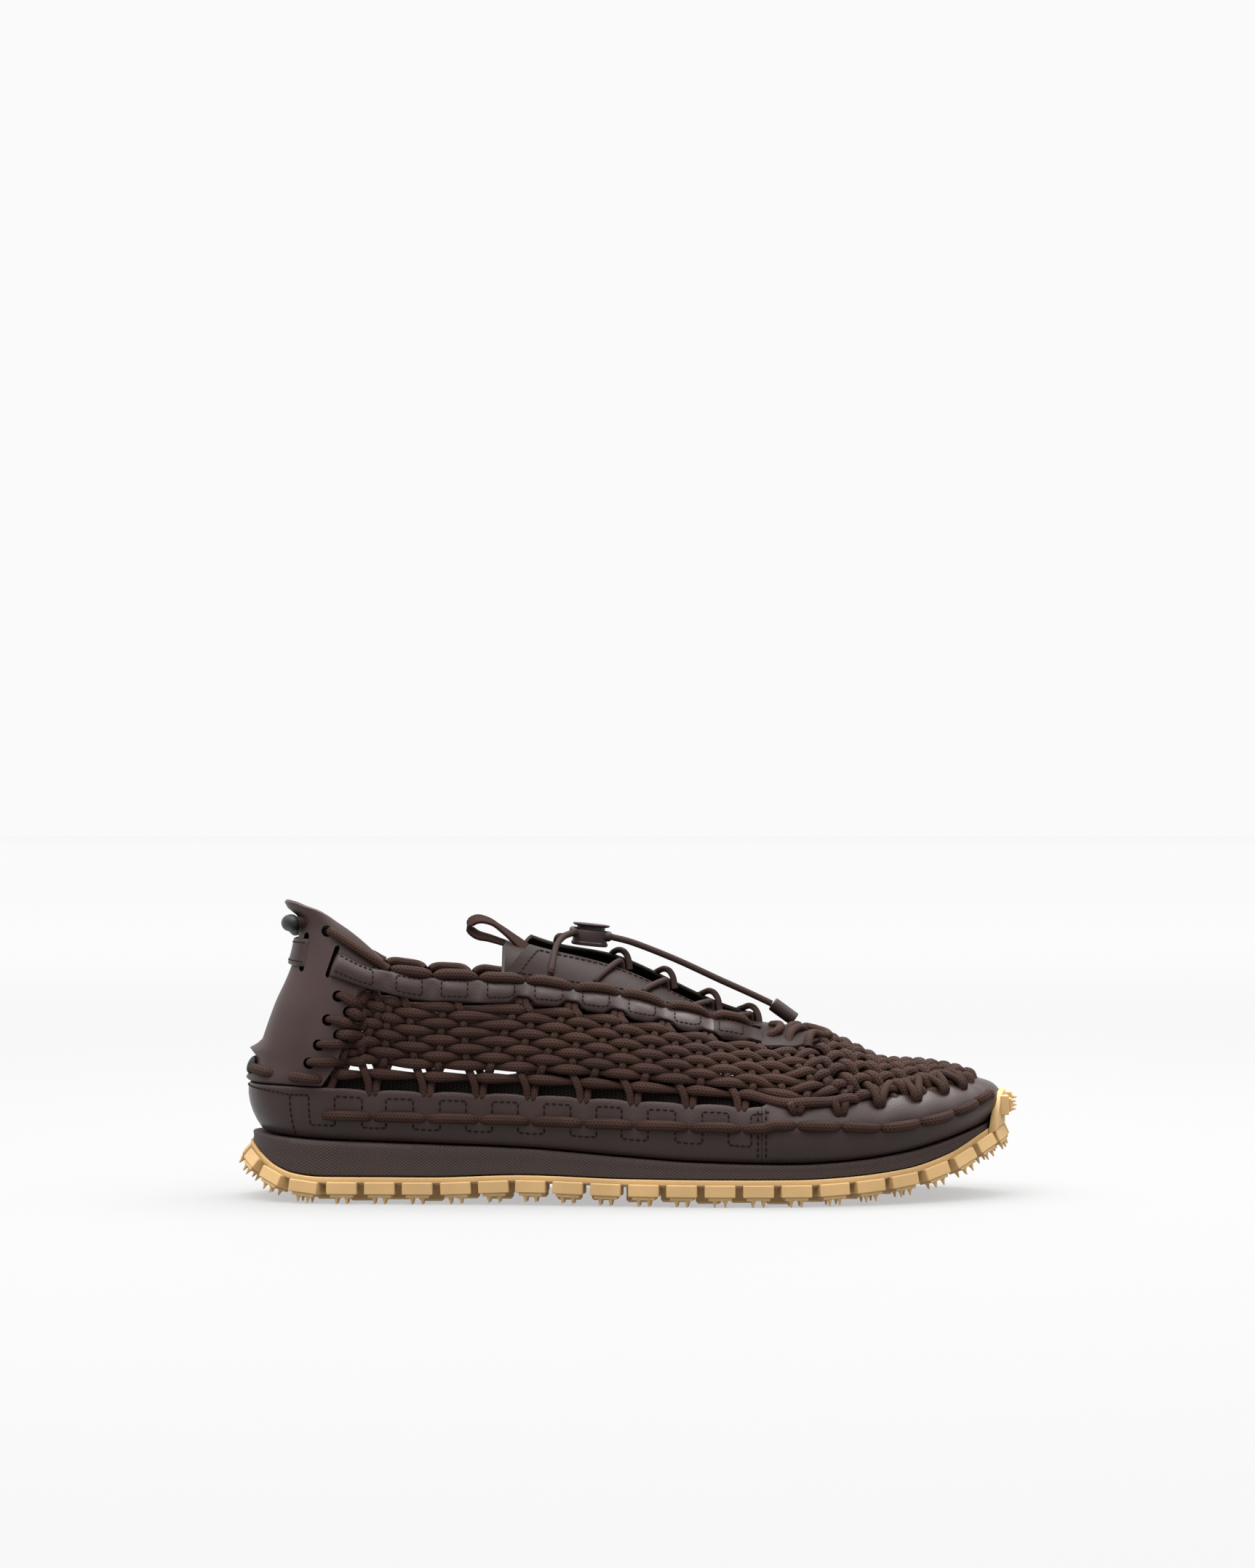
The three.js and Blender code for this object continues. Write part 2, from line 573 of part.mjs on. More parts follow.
function wallTopArc(s) {
  if (!isOpen(s)) return s.length;
  if (s.kind === "side" && s.x > THROAT_REAR_X) return s.arcAtReach(throatHalf(s.x));
  return s.arcAtHeight(bandTop(s.x) - SEAT_GAP);
}

function netTopArc(s) {
  if (s.kind === "toe" || s.x >= APRON_TIP_X) return s.length;
  const onApron = clamp((s.x - APRON_REAR_X) / SIDE_STEP, 0, 1);
  return lerp(s.arcAtHeight(bandBottom(s.x)), s.arcAtReach(apronHalf(s.x)), onApron);
}

const rowShare = (row) => (row === 0 ? FIRST_ROW : SECOND_ROW + (row - 1) * ROW_SHARE);

function netArc(s, share) {
  return lerp(s.arcAtHeight(randTop(s.x)), netTopArc(s), share);
}

// Outer face of one station: plain below the rand's top, then cords that pass over and under the uprights
function wallOuter(s, stationIndex) {
  const woven = s.kind !== "heel" && s.x >= NET_START_X;
  const row = [s.at(0), s.at(s.arcAtHeight(fullest(s.x))), s.at(netArc(s, 0))];
  for (let r = 0; r < ROWS; r++) {
    const over = (stationIndex + r) % 2 === 0;
    row.push(s.at(netArc(s, rowShare(r)), woven ? (over ? CREST : -DIP) : 0));
  }
  row.push(s.at(netTopArc(s)), s.at(wallTopArc(s)));
  return row;
}

function wallInner(s) {
  return INNER_SHARES.map((share) => s.at(wallTopArc(s) * share, -WALL));
}

// Slits in the wall above the lowest cord, one in each pitch of the uprights
function netWindows(stations) {
  const windows = [];
  const low = lerp(FIRST_ROW, SECOND_ROW, WINDOW_MARGIN);
  const high = lerp(SECOND_ROW, FIRST_ROW, WINDOW_MARGIN);
  stations.forEach((s, i) => {
    const next = stations[(i + 1) % stations.length];
    const woven = [s, next].every((end) => end.kind !== "heel" && end.x >= NET_START_X);
    if (!woven || i % 2 === 0) return;
    const rows = (offset) => [WINDOW_FLANK, 1 - WINDOW_FLANK].map((t) => [low, high].map((share) =>
      s.at(netArc(s, share), offset).lerp(next.at(netArc(next, share), offset), t)));
    windows.push(shell(rows(WINDOW_DEPTH), rows(-WINDOW_DEPTH)));
  });
  return unite(windows);
}

const ring = fullRing(SIDE_STEP, FAN_STEP);
const wall = shell(ring.map(wallOuter), ring.map(wallInner), { closed: true, open: (i) => isOpen(ring[i]) });
place("upper", wall.subtract(netWindows(ring)), COLOURS.weave);

// Sole: slabs lofted along the foot between two lines

function planOutline(offset) {
  return fullRing(PLAN_STEP, PLAN_STEP).map((s) => s.place(s.reach + offset(s), 0));
}

function spanAt(polygon, x) {
  const ys = [];
  polygon.forEach((a, i) => {
    const b = polygon[(i + 1) % polygon.length];
    if ((a.x - x) * (b.x - x) > 0 || a.x === b.x) return;
    ys.push(lerp(a.y, b.y, (x - a.x) / (b.x - a.x)));
  });
  return { outer: Math.min(...ys), inner: Math.max(...ys) };
}

function slabCuts(polygon) {
  const { from, to, steps, ends, clear, trim } = SLAB_CUTS;
  const xs = polygon.map((p) => p.x);
  const low = Math.min(...xs) + trim;
  const high = Math.max(...xs) - trim;
  const centre = (from + to) / 2;
  const half = (to - from) / 2;
  const spread = Array.from({ length: steps + 1 }, (_, i) => centre - half * Math.cos((i / steps) * Math.PI));
  const shared = spread.filter((x) => x > low + clear && x < high - clear);
  return [
    ...ends.map((t) => lerp(low, shared[0], t)), ...shared,
    ...ends.map((t) => lerp(high, shared.at(-1), t)).reverse(),
  ];
}

function slab(polygon, topAt, bottomAt) {
  const faces = new Faces();
  const rows = slabCuts(polygon).map((x) => {
    const { outer, inner } = spanAt(polygon, x);
    const corner = (y, z) => new THREE.Vector3(x, y, z);
    const low = bottomAt(x);
    const high = topAt(x);
    return [corner(outer, low), corner(inner, low), corner(inner, high), corner(outer, high)];
  });
  rows.slice(1).forEach((row, i) => faces.ladder([...rows[i], rows[i][0]], [...row, row[0]]));
  faces.quad(...rows[0]);
  faces.quad(...rows.at(-1).slice().reverse());
  return solid(faces.corners);
}

const insoleEdge = planOutline((s) => -tuck(s.x) - WALL - SEAT_GAP - SEAT_GAP);
const insoleBottom = (x) => soleTop(x) + SEAT_GAP;
place("insole", slab(insoleEdge, (x) => insoleBottom(x) + INSOLE_THICK, insoleBottom), COLOURS.insole);

const midsoleEdge = planOutline((s) => ledge(s.x));
place("midsole", slab(midsoleEdge, soleTop, soleBottom), COLOURS.midsole);

const webTop = (x) => soleBottom(x) - SEAT_GAP;
const soleSlope = (x) => (soleBottom(x + SLOPE_STEP) - soleBottom(x - SLOPE_STEP)) / (2 * SLOPE_STEP);
const webBottom = (x) => webTop(x) - WEB * Math.min(Math.hypot(1, soleSlope(x)), STEEP_LIMIT);

// Geometry set into a frame of three axes
function framed(geometry, axes, middle) {
  return solidOf(geometry, new THREE.Matrix4().makeBasis(...axes).setPosition(middle));
}

// One lug: a stepped block, drawn as seen from outside the shoe and extruded inwards
function lugAt(edge, along, out, down) {
  const half = LUG.length / 2;
  const foot = FOOT.length / 2;
  const shape = new THREE.Shape([
    [-half, LUG.top], [half, LUG.top], [half, LUG.bottom], [foot, LUG.bottom], [foot, FOOT.bottom],
    [-foot, FOOT.bottom], [-foot, LUG.bottom], [-half, LUG.bottom],
  ].map(([u, v]) => new THREE.Vector2(u, v)));
  const block = new THREE.ExtrudeGeometry(shape, { depth: LUG.proud + LUG.depth, bevelEnabled: false });
  return framed(block.translate(0, 0, -LUG.depth), [along, down, out], edge);
}

// Lugs at even spacing all round the edge of the sole, each leaning with the edge
function edgeLugs() {
  const stations = fullRing(LUG_STEP, LUG_STEP);
  const edges = stations.map((s) => {
    const tuckUnder = s.kind === "heel" ? LUG.heelTuck * s.dx * s.dx : 0;
    const p = s.place(s.reach + ledge(s.x) + WEB_EDGE - tuckUnder, 0);
    p.z = webTop(p.x);
    return p;
  });
  const arcs = [0];
  edges.forEach((p, i) => arcs.push(arcs[i] + p.distanceTo(edges[(i + 1) % edges.length])));
  const count = Math.round(arcs.at(-1) / LUG.pitch);
  const phase = arcs[edges.findIndex((p) => p.x >= LUG.firstX)];
  return Array.from({ length: count }, (_, n) => {
    const target = (phase + (n * arcs.at(-1)) / count) % arcs.at(-1);
    const k = arcs.findIndex((a) => a > target) - 1;
    const t = (target - arcs[k]) / (arcs[k + 1] - arcs[k]);
    const edge = edges[k].clone().lerp(edges[(k + 1) % edges.length], t);
    const before = edges[(k - 1 + edges.length) % edges.length];
    const along = edges[(k + 2) % edges.length].clone().sub(before).normalize();
    const down = new THREE.Vector3(soleSlope(edge.x), 0, -1).normalize();
    along.addScaledVector(down, -along.dot(down)).normalize();
    const out = along.clone().cross(down);
    if (out.x * stations[k].dx + out.y * stations[k].dy < 0) out.negate();
    return lugAt(edge, along, out, down);
  });
}

function innerLugs() {
  return INNER_LUGS.flatMap(({ x, ys }) => ys.map((y) => {
    const bottom = soleBottom(x) - SEAT_GAP - FOOT.bottom;
    const top = webBottom(x) + INNER_LUG.sink;
    const box = new THREE.BoxGeometry(INNER_LUG.length, INNER_LUG.width, top - bottom);
    return solidOf(box, new THREE.Matrix4().setPosition(x, y, (top + bottom) / 2));
  }));
}

// Toe bumper: a wall rising from the web in front of the toe, with lugs on its face
function toeBumper() {
  const stations = toeRun(BUMPER.from, BUMPER.to, BUMPER.step);
  const topAt = (s) => {
    const span = s.angle < BUMPER.middle ? BUMPER.middle - BUMPER.from : BUMPER.to - BUMPER.middle;
    const fall = Math.abs(s.angle - BUMPER.middle) / span;
    return lerp(BUMPER.top, webTop(s.x), fall ** 2);
  };
  const rows = (offset) => stations.map((s) => {
    const low = webTop(s.place(s.reach + offset, 0).x) - BUMPER.sunk;
    return [low, Math.max(topAt(s), low + SEAT_GAP)].map((z) => s.place(s.reach + offset, z));
  });
  const pieces = [shell(rows(BUMPER.far), rows(BUMPER.near))];
  for (const angle of BUMPER_LUGS.angles) {
    const s = toeStation(angle);
    const out = new THREE.Vector3(s.dx, s.dy, 0);
    const along = new THREE.Vector3(-s.dy, s.dx, 0);
    for (const { height, width, proud } of [BUMPER_LUGS, BUMPER_FEET]) {
      const box = new THREE.BoxGeometry(width, height, proud + SEAT_GAP);
      const middle = s.place(s.reach + BUMPER.far + (proud - SEAT_GAP) / 2, BUMPER_LUGS.middle);
      pieces.push(framed(box, [along, UP, out], middle));
    }
  }
  return unite(pieces);
}

// Everything that the tilted lugs reach below the floor is trimmed off, so that the shoe stands flat
const webEdge = planOutline((s) => ledge(s.x) + WEB_EDGE);
const tread = unite([slab(webEdge, webTop, webBottom), ...edgeLugs(), ...innerLugs(), toeBumper()]);
const floorBlock = new THREE.BoxGeometry(FLOOR_BLOCK.length, FLOOR_BLOCK.width, FLOOR_BLOCK.depth);
const belowFloor = new THREE.Matrix4().setPosition(FLOOR_BLOCK.middle, 0, -FLOOR_BLOCK.depth / 2);
place("outsole", tread.subtract(solidOf(floorBlock, belowFloor)), COLOURS.gum);

// Leather laid on the wall

const onWall = () => SEAT_GAP;

function randArcs(s) {
  const top = s.arcAtHeight(randTop(s.x));
  return [SEAT_GAP, s.arcAtHeight(fullest(s.x)), top];
}

place("rand_rear", overlay(rearRun(RAND_SPLIT_X - SEAT_GAP / 2), randArcs, onWall, LEATHER), COLOURS.leather);
place("toe_rand", overlay(frontRun(RAND_SPLIT_X + SEAT_GAP / 2), randArcs, onWall, LEATHER), COLOURS.leather);

// Collar band: along both sides and round the front of the throat, where its rows meet on the ridge
function bandArcs(s) {
  const low = netTopArc(s);
  const seam = s.arcAtHeight(bandTop(s.x) - SEAT_GAP);
  const closing = clamp((s.x - APRON_REAR_X) / (APRON_SHUT_X - APRON_REAR_X), 0, 1);
  const high = lerp(seam, s.length, closing);
  return BAND_SHARES.map((share) => lerp(low, high, share));
}

const bandXs = [
  ...stepsBetween(BAND_REAR_X, APRON_REAR_X, SIDE_STEP),
  ...stepsBetween(APRON_REAR_X + APRON_STEP, APRON_SHUT_X, APRON_STEP),
  ...stepsBetween(APRON_SHUT_X + 2 * APRON_STEP, APRON_TIP_X, TIP_STEP),
];
const bandRun = [
  ...bandXs.map((x) => sideStation(x, OUTER)),
  ...bandXs.slice(0, -1).reverse().map((x) => sideStation(x, INNER)),
];
const bandOpen = (i) => bandRun[i].x < APRON_SHUT_X;
place("collar_band", overlay(bandRun, bandArcs, (s) => SEAT_GAP + bandLift(s.x), LEATHER, { open: bandOpen }),
  COLOURS.leather);

// Eyestays: from the band up to the edge of the throat; the rear edge slants
function eyestay(side) {
  const columns = [EYESTAY.low, ...stepsBetween(EYESTAY.second, EYESTAY.front, SIDE_STEP)];
  const rows = (offset) => columns.map((x, column) => {
    const steps = Array.from({ length: EYESTAY.levels + 1 }, (_, i) => i / EYESTAY.levels);
    return steps.map((share) => {
      const s = sideStation(column === 0 ? lerp(EYESTAY.low, EYESTAY.high, share) : x, side);
      const low = s.arcAtHeight(bandTop(s.x) + SEAT_GAP);
      const high = s.arcAtReach(throatHalf(s.x));
      return s.at(lerp(low, high, share), offset);
    });
  });
  return shell(rows(SEAT_GAP + LEATHER), rows(SEAT_GAP));
}

place("eyestay_lateral", eyestay(OUTER), COLOURS.leather);
place("eyestay_medial", eyestay(INNER), COLOURS.leather);

// Heel counter with its lip, slots and cord holes

function counterBody() {
  const ends = (side) => ({ side, slant: true });
  const columns = [ends(OUTER), ...rearRun(HEEL_CENTRE_X), ends(INNER)];
  const shares = Array.from({ length: COUNTER_LEVELS + 1 }, (_, i) => i / COUNTER_LEVELS);
  const rows = (offset) => columns.map((column) => shares.map((share) => {
    const front = lerp(COUNTER_FRONT.low, COUNTER_FRONT.high, share);
    const s = column.slant ? sideStation(front, column.side) : column;
    const z = lerp(randTop(s.x) + COUNTER_RAISE, counterTop(s.x), share);
    return s.at(s.arcAtHeight(z), offset);
  }));
  return shell(rows(COUNTER_GAP + COUNTER), rows(COUNTER_GAP));
}

function counterCuts() {
  const cuts = [];
  for (const side of [OUTER, INNER]) {
    for (const { x, z } of COUNTER_HOLES) {
      const pin = new THREE.CylinderGeometry(HOLE_RADIUS, HOLE_RADIUS, CUT_REACH, HOLE_SIDES);
      cuts.push(solidOf(pin, new THREE.Matrix4().setPosition(x, side * (CUT_REACH / 2 + CUT_CLEAR), z)));
    }
    for (const { x, z, length, width, lean } of SLOTS) {
      const box = new THREE.BoxGeometry(width, CUT_REACH, length).rotateY(radians(lean));
      cuts.push(solidOf(box, new THREE.Matrix4().setPosition(x, side * (CUT_REACH / 2 + CUT_CLEAR), z)));
    }
  }
  return unite(cuts);
}

place("heel_counter", counterBody().subtract(counterCuts()), COLOURS.counter);

const counterFace = COUNTER_GAP + COUNTER;

const strapSteps = Array.from({ length: STRAP.steps + 1 }, (_, i) => (i / STRAP.steps) * 2 - 1);
const strapPath = strapSteps.map((t) => {
  const s = heelStation(t * STRAP.angle);
  return s.at(s.arcAtHeight(STRAP.z), counterFace + SEAT_GAP + STRAP.thick / 2 + STRAP.bow * (1 - t * t));
});
const strapLean = strapSteps.map((t) => {
  const s = heelStation(t * STRAP.angle);
  const arc = s.arcAtHeight(STRAP.z);
  return s.at(arc + STRAP.leanStep).sub(s.at(arc - STRAP.leanStep));
});
place("heel_strap", ribbon(strapPath, (i) => strapLean[i], STRAP.width, STRAP.thick), COLOURS.leather);

const sleevePath = strapSteps.map((t) => {
  const s = heelStation(t * SLEEVE.angle);
  return s.at(s.arcAtHeight(SLEEVE.z), counterFace + SLEEVE.stand);
});
place("heel_sleeve", tube(sleevePath, SLEEVE.radius, SLEEVE.sides, STRAP.steps), COLOURS.sleeve);

// Cord in arcs along a line on the wall: full in the middle of each arc and thin at the holes
function arcedCord(pointAt, from, to, pitch) {
  const count = ARC_STEPS * Math.max(1, Math.round(Math.abs(to - from) / pitch));
  const points = Array.from({ length: count + 1 }, (_, i) => pointAt(lerp(from, to, i / count)));
  return cord(points, (i) => (i % ARC_STEPS === 0 ? CORD_DIP : CORD_RADIUS));
}

const onRand = SEAT_GAP + LEATHER + SEAT_GAP + CORD_RADIUS;

// Stations by distance: along the side first, then round the toe by its angle
function toeRunning(side, distance) {
  const turn = distance - TOE_CENTRE_X;
  if (turn <= 0) return sideStation(distance, side);
  return toeStation(side * (QUARTER - turn / TOE_MM_PER_DEGREE));
}

for (const [name, side] of [["rand_cord_lateral", OUTER], ["rand_cord_medial", INNER]]) {
  const end = TOE_CENTRE_X + (QUARTER - Math.abs(CORD_TOE_ANGLE[side])) * TOE_MM_PER_DEGREE;
  const pointAt = (distance) => {
    const s = toeRunning(side, distance);
    return s.at(s.arcAtHeight(randCordHeight(s.x)), onRand);
  };
  place(name, arcedCord(pointAt, HEEL_CENTRE_X, end, RAND_PITCH), COLOURS.cord);
}

// The collar cord lies on the top edge of the quarter, then over the seam between band and eyestay
for (const [name, side] of [["collar_cord_lateral", OUTER], ["collar_cord_medial", INNER]]) {
  const pointAt = (x) => {
    const s = sideStation(x, side);
    const onSeam = smoothstep(x, COLLAR_CORD.rest - COLLAR_PITCH / 2, COLLAR_CORD.rest);
    const rise = (1 - onSeam) * (SEAT_GAP + CORD_RADIUS);
    const over = lerp(LEATHER, SEAT_GAP + LEATHER + SEAT_GAP + CORD_RADIUS, onSeam);
    return s.at(s.arcAtHeight(bandTop(x)) + rise, over);
  };
  place(name, arcedCord(pointAt, COLLAR_CORD.from, COLLAR_CORD.to, COLLAR_PITCH), COLOURS.cord);
}

// The heel cord runs round the counter above the rand, through a rubber grip at the back
const heelCordAt = (angle) => {
  const s = heelStation(angle);
  return s.at(s.arcAtHeight(HEEL_CORD.z), counterFace + SEAT_GAP + CORD_RADIUS);
};
const heelCordRun = (from, to) => arcedCord(heelCordAt, from, to, HEEL_CORD.pitch);
const heelCordEnd = HEEL_GRIP.angle + HEEL_CORD.clear;
place("heel_cord_lateral", heelCordRun(-HEEL_CORD.angle, -heelCordEnd), COLOURS.cord);
place("heel_cord_medial", heelCordRun(HEEL_CORD.angle, heelCordEnd), COLOURS.cord);

const gripAt = (angle) => {
  const s = heelStation(angle);
  return s.at(s.arcAtHeight(HEEL_CORD.z), counterFace + SEAT_GAP + HEEL_GRIP.radius);
};
const gripPath = stepsBetween(-HEEL_GRIP.angle, HEEL_GRIP.angle, HEEL_GRIP.step).map(gripAt);
place("heel_grip", tube(gripPath, HEEL_GRIP.radius, HEEL_GRIP.sides, HEEL_GRIP.steps), COLOURS.sleeve);

// Tongue: a curved sheet under the throat

function tongueRows(offset) {
  return stepsBetween(TONGUE.rear, TONGUE.front, SIDE_STEP).map((x) => TONGUE.shares.map((share) => {
    const s = sideStation(x, share < 0 ? OUTER : INNER);
    return s.at(s.arcAtReach(Math.abs(share) * TONGUE.half), -WALL - TONGUE.drop - offset);
  }));
}

place("tongue", shell(tongueRows(0), tongueRows(TONGUE_THICK)), COLOURS.leather);

const loopPath = LOOP_PATH.map((p) => new THREE.Vector3(p.x, centreY(p.x), p.z));
const sideways = new THREE.Vector3(0, 1, 0);
place("tongue_loop", ribbon(loopPath, () => sideways, LOOP.width, LOOP.thick), COLOURS.webbing);

// Lace: crossings over the throat, two runs up to the lock, two tail cords and the end piece

const laceLift = SEAT_GAP + LEATHER + 2 * SEAT_GAP + LACE_RADIUS;

// A place on the eyestay, by its share of the way from the edge of the throat down to the band
function lacePoint(x, side, share) {
  const s = sideStation(x, side);
  const edge = s.arcAtReach(throatHalf(x));
  return s.at(lerp(edge, s.arcAtHeight(bandTop(x)), share), laceLift);
}

// One lace across the throat; the first pair lies flat under the lock
function crossing(from, to, side) {
  const middleX = (from + to) / 2;
  const arch = from === EYELETS[0].x ? LOCK_ARCH : LACE_ARCH;
  const middle = new THREE.Vector3(middleX, centreY(middleX), ridge(middleX) + laceLift + arch);
  const points = [
    lacePoint(from, side, EYELET_SHARE), lacePoint(lerp(from, middleX, EDGE_REACH), side, EDGE_SHARE), middle,
    lacePoint(lerp(to, middleX, EDGE_REACH), -side, EDGE_SHARE), lacePoint(to, -side, EYELET_SHARE),
  ];
  return cord(points, () => LACE_RADIUS);
}

function laceLead(side) {
  const [{ x }] = EYELETS;
  const y = centreY(LOCK.x);
  const portX = LOCK.x - LOCK.flange - SEAT_GAP;
  const points = [
    lacePoint(x, side, EYELET_SHARE), lacePoint(x + LEAD.edge, side, EDGE_SHARE),
    new THREE.Vector3(x + LEAD.rise, y + side * LEAD.spread, LOCK.z + LEAD.lift),
    new THREE.Vector3(portX, y + side * LOCK.port, LOCK.z + LEAD.portLift),
  ];
  return tube(points, LACE_RADIUS, LACE_SIDES, LEAD.steps);
}

const crossings = EYELETS.slice(1).flatMap((eyelet, i) => [OUTER, INNER].map((side) =>
  crossing(EYELETS[i].x, eyelet.x, side)));
place("lace_crossings", unite([...crossings, laceLead(OUTER), laceLead(INNER)]), COLOURS.lace);

function lockBody() {
  const half = LOCK.height / 2;
  const profile = [
    [0, -half], [LOCK.flange, -half], [LOCK.flange, -half + LOCK.rim], [LOCK.body, -half + LOCK.rim],
    [LOCK.body, half * LOCK.shoulderLow], [LOCK.waist, half * LOCK.shoulderHigh],
    [LOCK.waist, half - LOCK.rim], [LOCK.cap, half - LOCK.rim], [LOCK.cap, half - LOCK.crown], [0, half],
  ].map(([r, h]) => new THREE.Vector2(r, h));
  const upright = new THREE.LatheGeometry(profile, LOCK.sides).rotateX(Math.PI / 2);
  const turn = new THREE.Matrix4().makeRotationY(radians(LOCK.lean));
  return solidOf(upright, turn.setPosition(LOCK.x, centreY(LOCK.x), LOCK.z));
}

place("cord_lock", lockBody(), COLOURS.lock);

for (const [name, side] of [["lace_tail_lateral", OUTER], ["lace_tail_medial", INNER]]) {
  const points = TAIL.map((p) => new THREE.Vector3(p.x, centreY(p.x) + side * TAIL_SPREAD, p.z));
  place(name, tube(points, LACE_RADIUS, TAIL_SIDES, TAIL_STEPS), COLOURS.lace);
}

const endBody = new THREE.CylinderGeometry(CORD_END.radius, CORD_END.radius, CORD_END.length, CORD_END.sides);
const endTurn = new THREE.Matrix4().makeRotationY(radians(CORD_END.fall));
endTurn.setPosition(CORD_END.x, centreY(CORD_END.x), CORD_END.z);
place("cord_end", solidOf(endBody.rotateZ(-Math.PI / 2), endTurn), COLOURS.lock);

// The origin is the middle of the footprint on the floor
const bounds = new THREE.Box3().setFromObject(shoe);
const middle = bounds.getCenter(new THREE.Vector3());
shoe.position.set(-middle.x, -middle.y, -bounds.min.z);
const part = new THREE.Group();
part.add(shoe);
export default part;
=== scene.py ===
"""Visible pieces of a woven sneaker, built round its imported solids.

Shapes are worked out in millimetres of the shoe's own frame, where x runs from the heel to the toe, the
outer side is at minus y and the floor is at z 0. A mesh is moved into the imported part's frame when it is
made.
"""

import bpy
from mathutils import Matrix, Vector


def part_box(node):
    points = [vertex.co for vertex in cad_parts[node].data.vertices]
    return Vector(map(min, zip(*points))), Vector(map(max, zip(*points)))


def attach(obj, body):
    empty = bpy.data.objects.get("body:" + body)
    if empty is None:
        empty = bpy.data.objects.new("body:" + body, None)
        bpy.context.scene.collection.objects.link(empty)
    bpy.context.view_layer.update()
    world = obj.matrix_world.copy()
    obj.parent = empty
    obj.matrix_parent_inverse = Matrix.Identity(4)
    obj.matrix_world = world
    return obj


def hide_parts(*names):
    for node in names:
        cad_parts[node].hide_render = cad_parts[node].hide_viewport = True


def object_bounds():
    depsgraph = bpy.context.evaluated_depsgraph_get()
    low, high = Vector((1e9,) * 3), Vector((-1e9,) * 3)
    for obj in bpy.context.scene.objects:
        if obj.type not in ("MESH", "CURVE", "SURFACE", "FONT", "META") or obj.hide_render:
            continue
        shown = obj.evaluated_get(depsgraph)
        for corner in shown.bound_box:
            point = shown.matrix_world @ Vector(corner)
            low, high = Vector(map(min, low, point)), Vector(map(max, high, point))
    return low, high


bl_info = {
    "name": "Woven Sneaker",
    "version": (1, 0, 0),
    "blender": (4, 5, 0),
    "location": "View3D > Sidebar > Sneaker",
    "description": "Builds the visible pieces of a woven sneaker round its solids",
    "category": "Add Mesh",
}

import math
from bisect import bisect_right
from functools import lru_cache

import bmesh
import bpy
import numpy as np
from bpy.props import FloatProperty, FloatVectorProperty, PointerProperty
from mathutils import Vector

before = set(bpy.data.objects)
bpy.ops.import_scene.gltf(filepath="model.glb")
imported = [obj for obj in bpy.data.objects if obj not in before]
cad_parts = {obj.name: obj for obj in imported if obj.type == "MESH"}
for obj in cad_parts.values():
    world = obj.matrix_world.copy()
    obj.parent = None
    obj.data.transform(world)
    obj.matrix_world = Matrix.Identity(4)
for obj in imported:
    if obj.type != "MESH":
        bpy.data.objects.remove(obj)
SOLID_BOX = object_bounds()

# Lengths and sides

MM = 0.001
SEAT_GAP = 0.3
LEATHER = 1.6
COUNTER_GAP = 0.6
COUNTER = 2.3
COUNTER_FACE = COUNTER_GAP + COUNTER
OUTER = -1
INNER = 1
SIDES = (OUTER, INNER)
NAMED_SIDES = ((OUTER, "lateral"), (INNER, "medial"))

# The last: its outline in plan, then tables with named columns

LAST_OUTLINE = (
    (6.3, 0), (11.5, -18.8), (28, -31.6), (60, -35), (100, -37.5), (140, -43.5), (180, -48.4), (215, -47),
    (247, -36.8), (270.5, -21.2), (284.5, -3.6), (288.7, 12), (282.6, 28.8), (264, 40.4), (235, 45.3),
    (200, 44.4), (165, 39), (130, 33), (95, 31), (60, 32.4), (28, 30.4), (11.5, 18.4),
)
CENTRE_LINE = {"x": (40, 130, 200, 250), "y": (0, -1, 0, 4)}
LAST_LINES = {
    "x": (6, 40, 70, 100, 114, 146, 190, 205, 228, 250, 275, 289),
    "fullest": (43, 42, 40, 37, 35, 30, 26.5, 26, 27.5, 29.5, 33.5, 36),
    "ridge": (128, 128, 124, 105, 98.5, 87.8, 67.4, 63.6, 58, 49.2, 49.2, 49.2),
    "tuck": (5.5, 3.5, 3, 2.5, 2.5, 2.4, 2.2, 2.2, 2.2, 2.2, 2.3, 2.5),
}
HEEL_BACK = {
    "z": (43, 46, 50, 60, 67, 74, 80.6, 87.3, 94, 101, 106.5, 109.2, 111, 112.6, 114),
    "inset": (0, 1.5, 3.4, 6.2, 8.6, 11.2, 14.4, 17.2, 19.2, 20.3, 20.5, 18.7, 16.4, 14.4, 13.8),
}
SOLE_LINES = {
    "x": (0, 5, 10, 16, 24, 34, 75, 110, 150, 175, 212, 230, 253, 270, 283, 292),
    "top": (25.6, 25.4, 25, 24.4, 23.9, 23.4, 22, 20.8, 17.8, 16.2, 15.4, 16.2, 19, 23, 27, 30),
    "bottom": (24.4, 22.4, 18.2, 13.9, 11.2, 10.3, 10.3, 11.4, 10.4, 10.3, 10.3, 11, 13.4, 18.2, 24.8, 28.9),
    "ledge": (0.3, 0.3, 0.6, 1.3, 2, 2.3, 2.6, 2.6, 2.6, 2.6, 2.6, 2.4, 2, 1.4, 1.2, 1.2),
}
SEAM_LINES = {
    "x": (6, 36, 53, 70, 90, 110, 127, 145, 162, 180, 200, 212, 225, 250, 270, 289),
    "high": (101, 94.8, 87.5, 84.8, 83.4, 82.2, 79.4, 77, 72.2, 67.5, 63, 60.5, 58, 51, 51, 51),
    "low": (90, 86.6, 80.4, 76.6, 75.5, 74.6, 73, 69.9, 66.3, 61.8, 57.8, 55.5, 53, 50, 50, 50),
}
